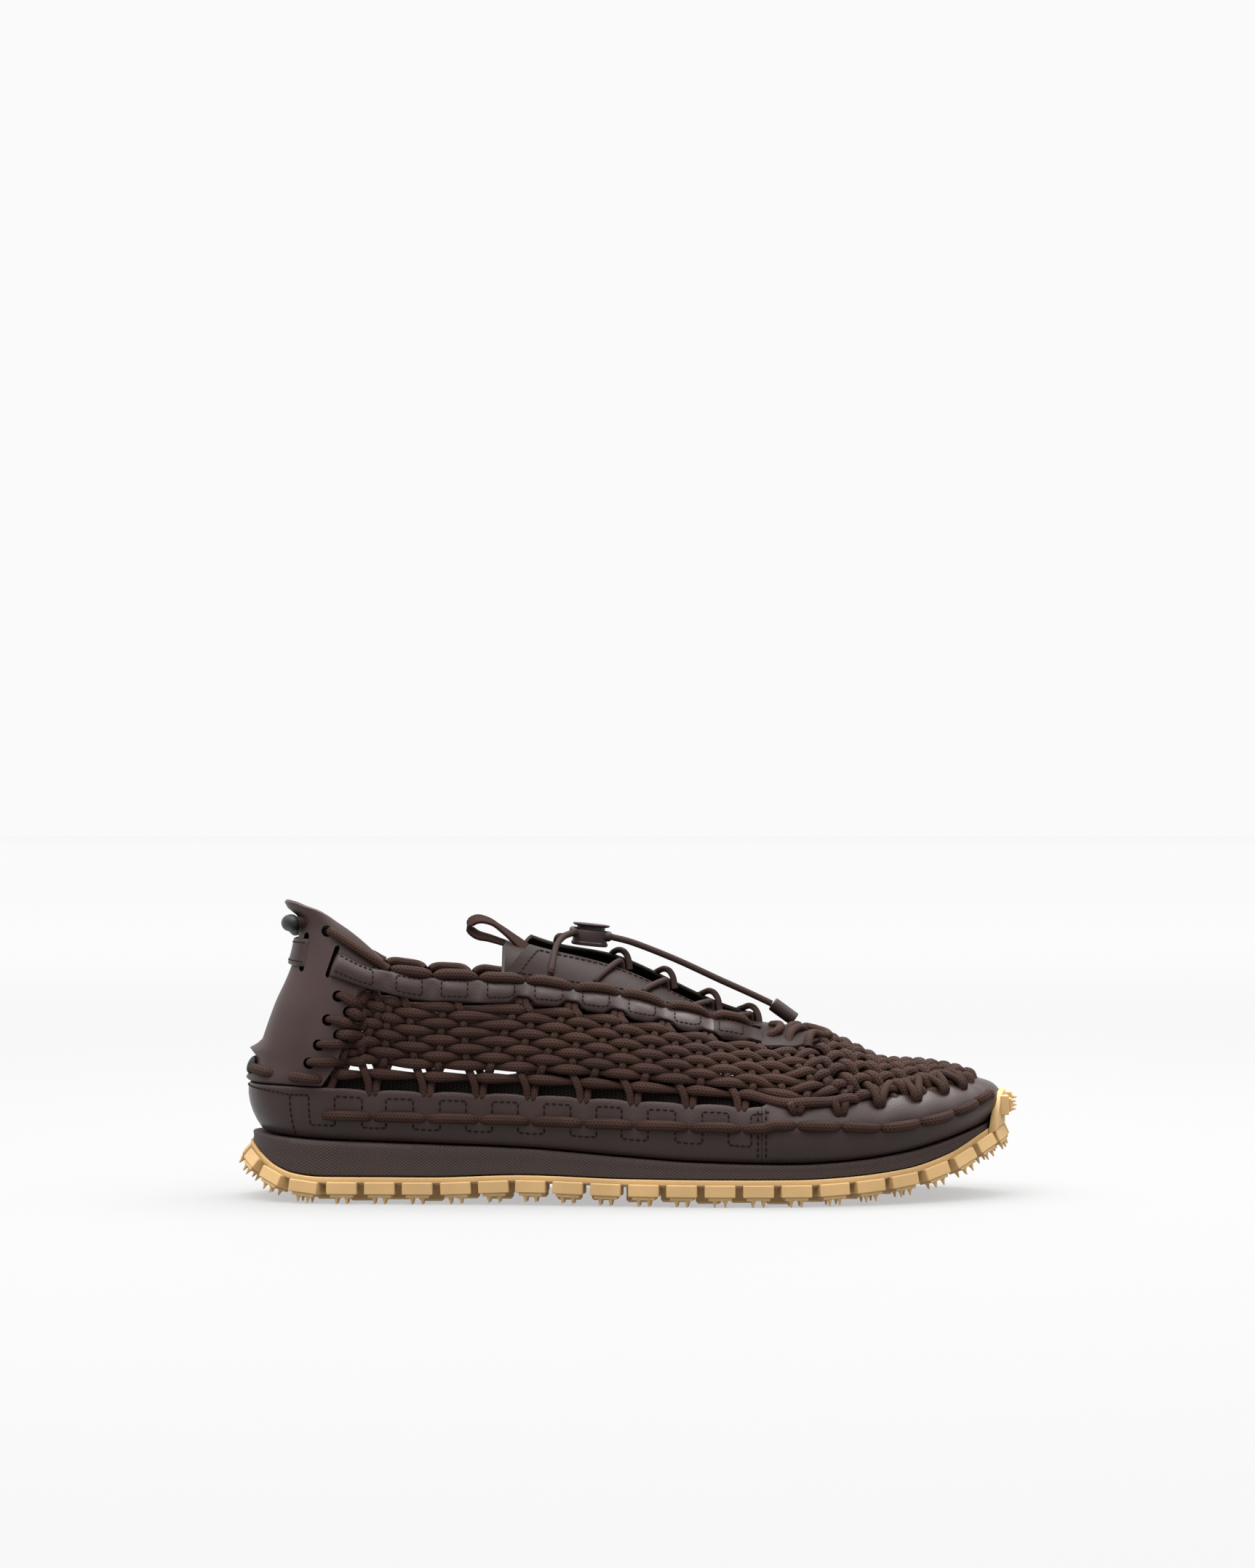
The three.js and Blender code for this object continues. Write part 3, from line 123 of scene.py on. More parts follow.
RAND_EDGE = {
    "x": (6, 36, 53, 70, 90, 110, 127, 145, 162, 180, 200, 214, 229, 245, 260, 273, 289),
    "z": (43.5, 43, 42.3, 41.8, 41.3, 40.8, 40.1, 39.2, 38.3, 37.4, 36.4, 36.8, 37.4, 38.8, 40.4, 42.3, 43.6),
}
THROAT = {"x": (110, 146, 170, 190, 200), "half": (13.8, 11.5, 11.7, 9.6, 5.5)}
APRON = {"x": (200, 210, 216, 222, 227), "half": (27.5, 26, 21.5, 13.5, 0)}
COUNTER_TOP = {
    "x": (6, 12, 20, 30, 40, 46, 52, 57),
    "z": (113.6, 113.1, 111.1, 108.5, 104, 100, 95.1, 90.5),
}
BAND_LIFT = {"x": (42, 58, 70, 190, 200), "lift": (2.9, 2.9, 0, 0, 0.5)}
RAND_CORD = {
    "x": (32, 112, 160, 200, 230, 248, 263, 275, 282),
    "z": (32.8, 31.2, 29.8, 28.6, 28, 28.6, 31, 34.4, 37),
}
HEEL_X = 40
TOE_X = 250
HEEL_TOP = 114
HEEL_FADE = 1.2
LIP_FADE = 0.3
INNER_COUNTER_DROP = 6.0
INNER_DROP_X = (6.4, 16)
UNDER_STEPS = 5
SIDE_STEPS = 26
OUTLINE_STEPS = 20
APRON_REAR_X = APRON["x"][0]
APRON_TIP_X = APRON["x"][-1]
END_PIECE_MM = (208.2, 70.1)


def lerp(a, b, t):
    return a + (b - a) * t


def clamp(value, low=0.0, high=1.0):
    return min(max(value, low), high)


def ease(low, high, value):
    """Smooth step from 0 at the low value to 1 at the high one."""
    t = clamp((value - low) / (high - low))
    return t * t * (3 - 2 * t)


def hump(distance, width):
    """Soft bump of height 1 at distance 0."""
    return math.exp(-((distance / width) ** 2))


def smooth_curve(table, column, key="x"):
    """Monotone cubic through one column of a table."""
    xs, ys = table[key], table[column]
    rises = [(b - a) / (d - c) for a, b, c, d in zip(ys, ys[1:], xs, xs[1:])]
    inner = [2 * a * b / (a + b) if a * b > 0 else 0.0 for a, b in zip(rises, rises[1:])]
    slopes = [rises[0], *inner, rises[-1]]

    def value(x):
        if x <= xs[0]:
            return ys[0]
        if x >= xs[-1]:
            return ys[-1]
        i = bisect_right(xs, x) - 1
        span = xs[i + 1] - xs[i]
        t = (x - xs[i]) / span
        s = 1 - t
        ends = ys[i] * (1 + 2 * t) * s * s + ys[i + 1] * (3 - 2 * t) * t * t
        return ends + span * (slopes[i] * t * s * s - slopes[i + 1] * s * t * t)

    return value


fullest = smooth_curve(LAST_LINES, "fullest")
ridge = smooth_curve(LAST_LINES, "ridge")
tuck = smooth_curve(LAST_LINES, "tuck")
heel_inset = smooth_curve(HEEL_BACK, "inset", "z")
sole_top = smooth_curve(SOLE_LINES, "top")
sole_bottom = smooth_curve(SOLE_LINES, "bottom")
ledge = smooth_curve(SOLE_LINES, "ledge")
rand_top = smooth_curve(RAND_EDGE, "z")
band_top = smooth_curve(SEAM_LINES, "high")
band_bottom = smooth_curve(SEAM_LINES, "low")
throat_half = smooth_curve(THROAT, "half")
apron_half = smooth_curve(APRON, "half")
counter_top = smooth_curve(COUNTER_TOP, "z")
band_lift = smooth_curve(BAND_LIFT, "lift")
rand_cord_height = smooth_curve(RAND_CORD, "z")
centre_y = smooth_curve(CENTRE_LINE, "y")


def counter_edge(x, side):
    """Height of the counter's top edge, which is lower on the inner side."""
    drop = INNER_COUNTER_DROP * ease(*INNER_DROP_X, x) if side == INNER else 0
    return counter_top(x) - drop


def closed_outline(points, steps):
    """Centripetal curve through a closed ring of points."""
    ring = np.array(points, float)
    out = []
    for k in range(len(ring)):
        a, b, c, d = (ring[(k + step) % len(ring)] for step in (-1, 0, 1, 2))
        before, here, after = (math.sqrt(math.dist(p, q)) for p, q in ((a, b), (b, c), (c, d)))
        leave = ((b - a) / before - (c - a) / (before + here) + (c - b) / here) * here
        arrive = ((c - b) / here - (d - b) / (here + after) + (d - c) / after) * here
        for i in range(steps):
            t = i / steps
            square = 3 * (c - b) - 2 * leave - arrive
            cube = 2 * (b - c) + leave + arrive
            out.append(b + leave * t + square * t**2 + cube * t**3)
    return np.array(out)


OUTLINE = closed_outline(LAST_OUTLINE, OUTLINE_STEPS)
OUTLINE_EDGES = np.roll(OUTLINE, -1, 0) - OUTLINE


def reach_from(centre, direction):
    """Distance from a point of the spine to the outline in one direction."""
    away = OUTLINE - centre
    det = direction[0] * OUTLINE_EDGES[:, 1] - direction[1] * OUTLINE_EDGES[:, 0]
    det[det == 0] = np.inf
    along = (away[:, 0] * OUTLINE_EDGES[:, 1] - away[:, 1] * OUTLINE_EDGES[:, 0]) / det
    share = (away[:, 0] * direction[1] - away[:, 1] * direction[0]) / det
    return along[(share >= 0) & (share <= 1)].max()


class Station:
    """One upright section of the last, from the sole up to the ridge, with places along its length."""

    def __init__(self, centre, direction, heel_share=0.0):
        self.centre = centre
        self.direction = direction
        self.reach = reach_from(centre, direction)
        self.x = centre[0] + direction[0] * self.reach
        self.section = self.draw(heel_share)
        steps = np.linalg.norm(np.diff(self.section, axis=0), axis=1)
        self.arcs = [0.0, *np.cumsum(steps).tolist()]
        self.length = self.arcs[-1]
        self.normals = self.draw_normals()

    def draw(self, heel_share):
        low, full, high = sole_top(self.x) + SEAT_GAP, fullest(self.x), ridge(self.centre[0])
        lip = min(counter_edge(self.x, INNER if self.direction[1] > 0 else OUTER), HEEL_TOP)
        rise = (lerp(high, lip, ease(0, LIP_FADE, heel_share)) - full) / (high - full)
        points = []
        for i in range(UNDER_STEPS + 1):
            t = i / UNDER_STEPS
            points.append((self.reach - tuck(self.x) * (1 - t) ** 2, lerp(low, full, t)))
        for i in range(1, SIDE_STEPS + 1):
            up = rise * math.sin(i / SIDE_STEPS * math.pi / 2)
            z = full + (high - full) * up
            arch = self.reach * math.sqrt(1 - up * up)
            back = self.reach - heel_inset(lerp(full, HEEL_TOP, clamp((z - full) / (lip - full))))
            points.append((lerp(arch, back, heel_share), z))
        return np.array(points)

    def draw_normals(self):
        ahead = np.vstack([self.section[1:], self.section[-1:]])
        behind = np.vstack([self.section[:1], self.section[:-1]])
        run = ahead - behind
        run /= np.linalg.norm(run, axis=1)[:, None]
        normals = np.stack([run[:, 1], -run[:, 0]], 1)
        normals[: UNDER_STEPS + 1] = (1, 0)
        if self.section[-1, 0] == 0:
            normals[-1] = (0, 1)
        return normals

    def find(self, arc):
        k = int(clamp(bisect_right(self.arcs, arc), 1, len(self.arcs) - 1))
        t = clamp((arc - self.arcs[k - 1]) / (self.arcs[k] - self.arcs[k - 1]))
        normal = lerp(self.normals[k - 1], self.normals[k], t)
        return lerp(self.section[k - 1], self.section[k], t), normal / np.linalg.norm(normal)

    def at(self, arc, offset=0.0):
        """Place on the section, by its arc length from the sole and its offset outwards."""
        place, normal = self.find(arc)
        return self.place(*(place + normal * offset))

    def out(self, arc):
        """Outward direction at an arc length."""
        normal = self.find(arc)[1]
        return np.array((self.direction[0] * normal[0], self.direction[1] * normal[0], normal[1]))

    def place(self, r, z):
        return np.array((self.centre[0] + self.direction[0] * r, self.centre[1] + self.direction[1] * r, z))

    def arc_at(self, values, target, start):
        """Arc length where a column of the section passes a value."""
        for k in range(start, len(values)):
            if values[k] >= target:
                share = (target - values[k - 1]) / (values[k] - values[k - 1])
                return lerp(self.arcs[k - 1], self.arcs[k], share)
        return self.length

    def arc_at_height(self, z):
        return self.arc_at(self.section[:, 1], z, 1)

    def arc_at_reach(self, r):
        return self.arc_at(-self.section[:, 0], -r, UNDER_STEPS + 1)

    def rand_arc(self):
        return self.arc_at_height(rand_top(self.x))


def kept_by_hundredths(make):
    """Keeps the stations that a function makes, one for each hundredth of its first value."""
    kept = {}

    def station(value, *side):
        key = (round(float(value), 2), *side)
        if key not in kept:
            kept[key] = make(*key)
        return kept[key]

    return station


@kept_by_hundredths
def side_station(x, side):
    return Station((x, centre_y(x)), (0.0, side))


@kept_by_hundredths
def heel_station(angle):
    """Angle in degrees from the back of the heel; minus is the outer side."""
    a = math.radians(angle)
    share = max(math.cos(a), 0.0) ** HEEL_FADE
    return Station((HEEL_X, centre_y(HEEL_X)), (-math.cos(a), math.sin(a)), share)


@kept_by_hundredths
def toe_station(angle):
    """Angle in degrees from the front of the toe; minus is the outer side."""
    a = math.radians(angle)
    return Station((TOE_X, centre_y(TOE_X)), (math.cos(a), math.sin(a)))


class Walk:
    """One side of the shoe as distances along its outline, from the heel's back to the toe's front."""

    KEY_STEP = 2.0
    QUARTER = 90.0

    def __init__(self, side):
        self.side = side
        turn = np.arange(0, self.QUARTER, self.KEY_STEP)
        straight = np.arange(HEEL_X, TOE_X, self.KEY_STEP)
        self.kinds = ["heel"] * len(turn) + ["side"] * len(straight) + ["toe"] * (len(turn) + 1)
        self.keys = [*turn, *straight, *np.arange(self.QUARTER, -self.KEY_STEP / 2, -self.KEY_STEP)]
        stations = [self.made(kind, key) for kind, key in zip(self.kinds, self.keys)]
        places = np.array([s.place(s.reach, 0) for s in stations])
        self.runs = [0.0, *np.cumsum(np.linalg.norm(np.diff(places, axis=0), axis=1)).tolist()]
        self.xs = np.maximum.accumulate([s.x for s in stations])
        self.length = self.runs[-1]

    def made(self, kind, key):
        if kind == "side":
            return side_station(key, self.side)
        return (heel_station if kind == "heel" else toe_station)(key * self.side)

    def station(self, run):
        k = int(clamp(bisect_right(self.runs, run), 1, len(self.runs) - 1))
        t = clamp((run - self.runs[k - 1]) / (self.runs[k] - self.runs[k - 1]))
        kind, ahead = self.kinds[k - 1], self.keys[k]
        if self.kinds[k] != kind:
            ahead = TOE_X if kind == "side" else self.QUARTER
        return self.made(kind, lerp(self.keys[k - 1], ahead, t))

    def run_at(self, x):
        return float(np.interp(x, self.xs, self.runs))


WALKS = {side: Walk(side) for side in SIDES}


def full_ring(step):
    """Stations and their runs once round the shoe, from the back of the heel by the outer side."""
    outer, inner = WALKS[OUTER], WALKS[INNER]
    out = [(outer, run) for run in np.arange(0, outer.length, step)]
    back = [(inner, run) for run in np.arange(inner.length, 0, -step)]
    return out + back


def runs_between(start, end, step):
    return np.linspace(start, end, max(2, round(abs(end - start) / step) + 1))


# Places of the weave

ROWS = 9
FIRST_ROW = 0.17
LOW_ROW = 0.02
SECOND_ROW = 0.30
ROW_SHARE = 0.0885
TOE_ROW_DROP = 0.17
ROW_DROP_X = (190, 214)
INNER_REAR_X = (96, 122)


def net_top_arc(s):
    if s.x >= APRON_TIP_X or s.centre[0] >= TOE_X:
        return s.length
    on_apron = clamp((s.x - APRON_REAR_X) / 10)
    return lerp(s.arc_at_height(band_bottom(s.x)), s.arc_at_reach(apron_half(s.x)), on_apron)


def row_share(row, side, x):
    """Height of a row of the net as a share; the lowest comes down to the rand at the toe and inner rear."""
    on_toe = ease(*ROW_DROP_X, x)
    if row == 0:
        rear = FIRST_ROW if side == OUTER else lerp(LOW_ROW, FIRST_ROW, ease(*INNER_REAR_X, x))
        return lerp(rear, LOW_ROW, on_toe)
    drop = TOE_ROW_DROP * (1 - (row - 1) / (ROWS - 2)) * on_toe
    return SECOND_ROW + (row - 1) * ROW_SHARE - drop


def net_arc(s, share):
    return lerp(s.rand_arc(), net_top_arc(s), share)


# Mesh making

PATTERN_MAP = "pattern"
WELD = 2e-6
END_PLACE = np.array((END_PIECE_MM[0], centre_y(END_PIECE_MM[0]), END_PIECE_MM[1]))
ROW_SHIFT = np.array(sum(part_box("cord_end"), Vector()) / 2) - END_PLACE * MM


def in_row_frame(points):
    return np.asarray(points, float) * MM + ROW_SHIFT


def linked(name, data):
    """New object in the scene."""
    thing = bpy.data.objects.new(name, data)
    bpy.context.scene.collection.objects.link(thing)
    return thing


def leaning(degrees):
    """Axes of a piece that is turned in the side view."""
    a = math.radians(degrees)
    return np.array(((math.cos(a), 0, -math.sin(a)), (0, 1, 0), (math.sin(a), 0, math.cos(a))))


def unit(vectors):
    """Vectors of length 1 along the last axis."""
    return vectors / np.linalg.norm(vectors, axis=-1, keepdims=True)


class Shape:
    """Mesh of one piece in millimetres, with a pattern coordinate for each corner of each face."""

    def __init__(self):
        self.points = []
        self.faces = []
        self.runs = []
        self.looks = []

    def face(self, corners, runs, look=0):
        self.faces.append(corners)
        self.runs.extend(runs)
        self.looks.append(look)

    def rows(self, grid, run=None, wrap=False, caps=False, look=0):
        """Quads between neighbouring rows of points; wrap joins the end of each row to its start."""
        grid = np.asarray(grid, float)
        count, width = grid.shape[:2]
        base = len(self.points)
        self.points.extend(grid.reshape(-1, 3).tolist())
        if run is None:
            run = self.measured(grid, wrap)
        run = run.tolist()
        for i in range(count - 1):
            low, high = base + i * width, base + (i + 1) * width
            for j in range(width if wrap else width - 1):
                k = (j + 1) % width
                corners = (low + j, low + k, high + k, high + j)
                self.face(corners, (run[i][j], run[i][j + 1], run[i + 1][j + 1], run[i + 1][j]), look)
        if caps:
            for row in (0, count - 1):
                self.face(tuple(base + row * width + j for j in range(width)), run[row][:width], look)

    @staticmethod
    def measured(grid, wrap):
        """Pattern coordinates by length, along the rows and across them."""
        closed = np.concatenate([grid, grid[:, :1]], 1) if wrap else grid
        across = np.cumsum(np.linalg.norm(np.diff(closed, axis=1, prepend=closed[:, :1]), axis=2), 1)
        middles = closed.mean(1)
        along = np.cumsum(np.linalg.norm(np.diff(middles, axis=0, prepend=middles[:1]), axis=1))
        return np.stack(np.broadcast_arrays(along[:, None], across), -1)

    def tube(self, path, radius, hint=(0, 0, 1), flat=1.0, sides=10, domed=False, look=0):
        """Round or flattened bar along a path; the hint gives the direction of its flat axis."""
        path = np.asarray(path, float)
        radius = np.broadcast_to(np.asarray(radius, float), len(path))
        hint = np.broadcast_to(np.asarray(hint, float), path.shape)
        flat = np.broadcast_to(np.asarray(flat, float), len(path))
        if domed:
            path, radius, hint, flat = self.with_domes(path, radius, hint, flat)
        along = unit(np.gradient(path, axis=0))
        up = unit(hint - along * (hint * along).sum(1)[:, None])
        across = np.cross(along, up)
        turns = np.arange(sides + 1) / sides
        angles = turns[:-1] * 2 * math.pi
        ring = path[:, None] + across[:, None] * (radius[:, None] * np.cos(angles))[..., None]
        ring = ring + up[:, None] * ((radius * flat)[:, None] * np.sin(angles))[..., None]
        lengths = np.cumsum(np.linalg.norm(np.diff(path, axis=0, prepend=path[:1]), axis=1))
        run = np.stack(np.broadcast_arrays(lengths[:, None], turns[None]), -1)
        self.rows(ring, run, wrap=True, caps=True, look=look)

    def cord(self, spots, radius, **form):
        """Bar along (station, arc, lift) spots, with its flat axis out from the last."""
        path = [s.at(arc, lift) for s, arc, lift in spots]
        self.tube(path, radius, hint=[s.out(arc) for s, arc, lift in spots], **form)

    @staticmethod
    def with_domes(path, radius, hint, flat):
        """The path with short round ends added."""
        heights = np.array((0.45, 0.8, 0.97))
        widths = np.sqrt(1 - heights**2)
        first, last = unit(path[0] - path[1]), unit(path[-1] - path[-2])
        head = [path[0] + first * radius[0] * h for h in heights[::-1]]
        tail = [path[-1] + last * radius[-1] * h for h in heights]
        pad = len(heights)
        return (
            np.vstack([head, path, tail]),
            np.concatenate([radius[0] * widths[::-1], radius, radius[-1] * widths]),
            np.vstack([np.repeat(hint[:1], pad, 0), hint, np.repeat(hint[-1:], pad, 0)]),
            np.concatenate([np.repeat(flat[:1], pad), flat, np.repeat(flat[-1:], pad)]),
        )

    def turned(self, profile, middle, axes, sides):
        """Body of revolution from (radius, height) pairs; the third axis is its own."""
        angles = np.linspace(0, 2 * math.pi, sides, endpoint=False)
        turns = np.stack([np.cos(angles), np.sin(angles)], 1)
        grid = [[middle + np.array((*(r * turn), h)) @ axes for turn in turns] for r, h in profile]
        self.rows(grid, wrap=True)

    def panel(self, columns, spot, thick, levels=10, inner_levels=3, edge=0.08, closed=False, rim_look=None):
        """Sheet with round edges; spot(column, share, offset) gives its places from low edge to high."""
        outer = [(edge + (1 - 2 * edge) * i / levels, 1.0) for i in range(levels + 1)]
        inner = [(1 - edge - (1 - 2 * edge) * i / inner_levels, 0.0) for i in range(inner_levels + 1)]
        rim = ((0.3, 0.9), (0.0, 0.5), (0.3, 0.1))
        top = [(1 - edge * inset, depth) for inset, depth in rim]
        bottom = [(edge * inset, depth) for inset, depth in reversed(rim)]
        profile = outer + top + inner + bottom
        grid = [[spot(c, share, depth * thick) for share, depth in profile] for c in columns]
        if closed:
            grid.append(grid[0])
        start = len(self.faces)
        self.rows(grid, wrap=True, caps=not closed)
        if rim_look is not None:
            rims = range(len(outer) - 1, len(outer) + len(top))
            for i in range(start, len(self.faces) - (0 if closed else 2)):
                if (i - start) % len(profile) in rims:
                    self.looks[i] = rim_look

    def box(self, middle, axes, size, chamfer):
        """Block with chamfered edges in a frame of three axes."""
        axes = np.asarray(axes, float)
        half = np.asarray(size, float) / 2
        base = len(self.points)
        for ends in np.ndindex(2, 2, 2):
            for axis in range(3):
                reach = half - chamfer
                reach[axis] = half[axis]
                self.points.append((np.asarray(middle) + ((np.array(ends) * 2 - 1) * reach) @ axes).tolist())

        def corner(axis, ends):
            return base + 3 * (4 * ends[0] + 2 * ends[1] + ends[2]) + axis

        turn = ((0, 0), (1, 0), (1, 1), (0, 1))
        for axis in range(3):
            second, third = (axis + 1) % 3, (axis + 2) % 3
            for end in (0, 1):
                self.face(tuple(corner(axis, {axis: end, second: u, third: v}) for u, v in turn), turn)
            for u, v in turn:
                low, high = ({axis: end, second: u, third: v} for end in (0, 1))
                edge = (corner(second, low), corner(second, high), corner(third, high), corner(third, low))
                self.face(edge, turn)
        for ends in np.ndindex(2, 2, 2):
            self.face(tuple(corner(axis, ends) for axis in range(3)), turn[:3])

    def mesh(self, name):
        """Mesh in the row's frame, welded, with its faces turned outwards and its pattern coordinates."""
        mesh = bpy.data.meshes.new(name)
        mesh.from_pydata(in_row_frame(self.points).tolist(), [], self.faces)
        layer = mesh.uv_layers.new(name=PATTERN_MAP)
        layer.data.foreach_set("uv", np.asarray(self.runs, np.float32).ravel())
        mesh.polygons.foreach_set("material_index", np.asarray(self.looks, np.int32))
        work = bmesh.new()
        work.from_mesh(mesh)
        bmesh.ops.remove_doubles(work, verts=work.verts, dist=WELD)
        bmesh.ops.recalc_face_normals(work, faces=work.faces)
        work.to_mesh(mesh)
        work.free()
        return mesh

    def made(self, name, finishes, slot, *nodes, sharp=40.0):
        """Makes the object, rides it on the part and hides the solids that it stands for."""
        mesh = self.mesh(name)
        mesh.shade_smooth()
        mesh.set_sharp_from_angle(angle=math.radians(sharp))
        for finish in finishes.split():
            mesh.materials.append(looks()[finish])
        thing = linked(name, mesh)
        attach(thing, "root")
        if nodes:
            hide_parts(*nodes)
        return thing

    def cut_from(self, thing, sharp=38.0):
        """Cuts the shape out of an object; the walls of the cut get no pattern coordinates."""
        cutter = linked("cutter", self.mesh("cutter"))
        cutter.data.uv_layers.remove(cutter.data.uv_layers[PATTERN_MAP])
        modifier = thing.modifiers.new("cut", "BOOLEAN")
        modifier.operation = "DIFFERENCE"
        modifier.object = cutter
        modifier.solver = "EXACT"
        graph = bpy.context.evaluated_depsgraph_get()
        mesh = bpy.data.meshes.new_from_object(thing.evaluated_get(graph), depsgraph=graph)
        thing.modifiers.clear()
        thing.data = mesh
        mesh.set_sharp_from_angle(angle=math.radians(sharp))
        bpy.data.objects.remove(cutter)


def resampled(points, *extras, step):
    """The path at even steps of length, with other rows of numbers carried along."""
    points = np.asarray(points, float)
    lengths = np.concatenate([[0], np.cumsum(np.linalg.norm(np.diff(points, axis=0), axis=1))])
    at = np.linspace(0, lengths[-1], max(2, round(lengths[-1] / step) + 1))
    out = [np.stack([np.interp(at, lengths, column) for column in np.asarray(row, float).T], 1)
           for row in (points, *extras)]
    return out if extras else out[0]


def rounded(points, step):
    """Smooth path through a few given points."""
    points = [np.asarray(p, float) for p in points]
    points = [2 * points[0] - points[1], *points, 2 * points[-1] - points[-2]]
    out = []
    for a, b, c, d in zip(points, points[1:], points[2:], points[3:]):
        for t in np.linspace(0, 1, 12, endpoint=False):
            square = 2 * a - 5 * b + 4 * c - d
            cube = 3 * b - a - 3 * c + d
            out.append(0.5 * (2 * b + (c - a) * t + square * t * t + cube * t**3))
    out.append(points[-2])
    return resampled(out, step=step)


def stitched(shape, place, spots, pitch=2.3, length=1.8, radius=0.35):
    """Stitches along spots of a piece; place(*spot) gives a place on its face and the way out from it."""
    path, normals = zip(*(place(*spot) for spot in spots))
    path, normals = resampled(path, normals, step=pitch)
    for k in range(len(path) - 1):
        along = unit(path[k + 1] - path[k])
        middle = (path[k] + path[k + 1]) / 2
        places = [middle + along * length * t for t in (-0.5, -0.32, 0.32, 0.5)]
        shape.tube(places, (0.08, radius, radius, 0.08), hint=normals[k], sides=6)


def stitched_corners(shape, place, corners, **sizes):
    """Stitches along the straight lines between corners."""
    for start, end in zip(corners, corners[1:]):
        stitched(shape, place, np.linspace(start, end, 8), **sizes)


# Shaders


class Value:
    """A shader socket; expressions with it add Math nodes."""

    def __init__(self, nodes, socket):
        self.nodes = nodes
        self.socket = socket

    def math(self, operation, *others):
        return self.nodes.add("ShaderNodeMath", {"operation": operation}, self, *others)

    def __add__(self, other):
        return self.math("ADD", other)

    def __sub__(self, other):
        return self.math("SUBTRACT", other)

    def __rsub__(self, other):
        return self.nodes.add("ShaderNodeMath", {"operation": "SUBTRACT"}, other, self)

    def __mul__(self, other):
        return self.math("MULTIPLY", other)

    def __pow__(self, other):
        return self.math("POWER", other)

    def __abs__(self):
        return self.math("ABSOLUTE")

    __radd__ = __add__
    __rmul__ = __mul__

    def sin(self):
        return self.math("SINE")

    def wave(self, length):
        """Sine with a half wave of the given length."""
        return (self * (math.pi / length)).sin()

    def between(self, low, high, first=0.0, last=1.0):
        """The first number below the low value, the last above the high one and a smooth step between."""
        settings = {"interpolation_type": "SMOOTHSTEP", "clamp": True}
        return self.nodes.add("ShaderNodeMapRange", settings, self, low, high, first, last)

    def parts(self):
        """The three parts of a vector."""
        split = self.nodes.add("ShaderNodeSeparateXYZ", {}, self)
        return [Value(self.nodes, socket) for socket in split.socket.node.outputs]


class Nodes:
    """The nodes of a material or a world."""

    def __init__(self, owner, shader):
        owner.use_nodes = True
        self.owner = owner
        self.tree = owner.node_tree
        self.shader = self.tree.nodes[shader]

    def add(self, kind, settings, *values, out=0, **named):
        """Adds a node: its settings first, then the values or links of its sockets, by place or by name."""
        made = self.tree.nodes.new(kind)
        for key, value in settings.items():
            setattr(made, key, value)
        for key, value in [*enumerate(values), *named.items()]:
            self.put(made.inputs[key], value)
        return Value(self, made.outputs[out])

    def put(self, socket, value):
        if isinstance(value, Value):
            self.tree.links.new(value.socket, socket)
        elif value is not None:
            socket.default_value = (*tuple(value)[:3], 1.0) if socket.type == "RGBA" else value

    def set(self, **values):
        """Sets or links sockets of the shader; an underscore stands for a space."""
        for name, value in values.items():
            self.put(self.shader.inputs[name.replace("_", " ")], value)


class Look(Nodes):
    """A node material with one Principled shader."""

    def __init__(self, name, specular, **constants):
        super().__init__(bpy.data.materials.new(name), "Principled BSDF")
        self.set(Specular_IOR_Level=specular, **constants)

    def place(self, scale=1000.0):
        """Coordinates of the piece in millimetres, or in other units by the scale."""
        where = self.add("ShaderNodeTexCoord", {}, out=3)
        return self.add("ShaderNodeVectorMath", {"operation": "SCALE"}, where, Scale=scale)

    def pattern(self):
        """Both pattern coordinates of the piece, as values."""
        return self.add("ShaderNodeUVMap", {"uv_map": PATTERN_MAP}).parts()[:2]

    def noise(self, scale, detail=2.0):
        return self.add("ShaderNodeTexNoise", {}, Vector=self.place(), Scale=scale, Detail=detail)

    def patches(self, scale, detail=2.0):
        """Soft patches from 0 to 1."""
        return self.noise(scale, detail).between(0.3, 0.7)

    def cells(self, scale):
        return self.add("ShaderNodeTexVoronoi", {}, Vector=self.place(), Scale=scale)

    def mix(self, factor, first, second):
        sockets = [factor, None, None, None, None, None, first, second]
        return self.add("ShaderNodeMix", {"data_type": "RGBA"}, *sockets, out=2)

    def tones(self, factor, colour, low, high):
        """Darker and lighter tones of one colour."""
        return self.mix(factor, shade(colour, low), shade(colour, high))

    def finished(self, base, roughness, height, strength, depth_mm):
        """The material with its base colour, roughness and a bump whose full step is the depth."""
        bump = self.add("ShaderNodeBump", {}, Height=height, Strength=strength, Distance=depth_mm * MM)
        self.set(Base_Color=base, Roughness=roughness, Normal=bump)
        return self.owner


def shade(colour, factor):
    return tuple(clamp(c * factor) for c in colour[:3])


def leather_look(name, colour, specular):
    """Fine grained leather with a soft shine and slight wear."""
    look = Look(name, specular)
    grain = look.cells(1.7).between(0.0, 0.75) * 0.8 + look.noise(4.0) * 0.35
    patches = look.noise(0.05).between(0.35, 0.7)
    worn = look.tones(patches, colour, 0.94, 1.07)
    base = look.mix(grain.between(0.15, 0.75), shade(colour, 0.75), worn)
    return look.finished(base, 0.28 + 0.08 * patches + 0.08 * grain, grain, 0.35, 0.14)


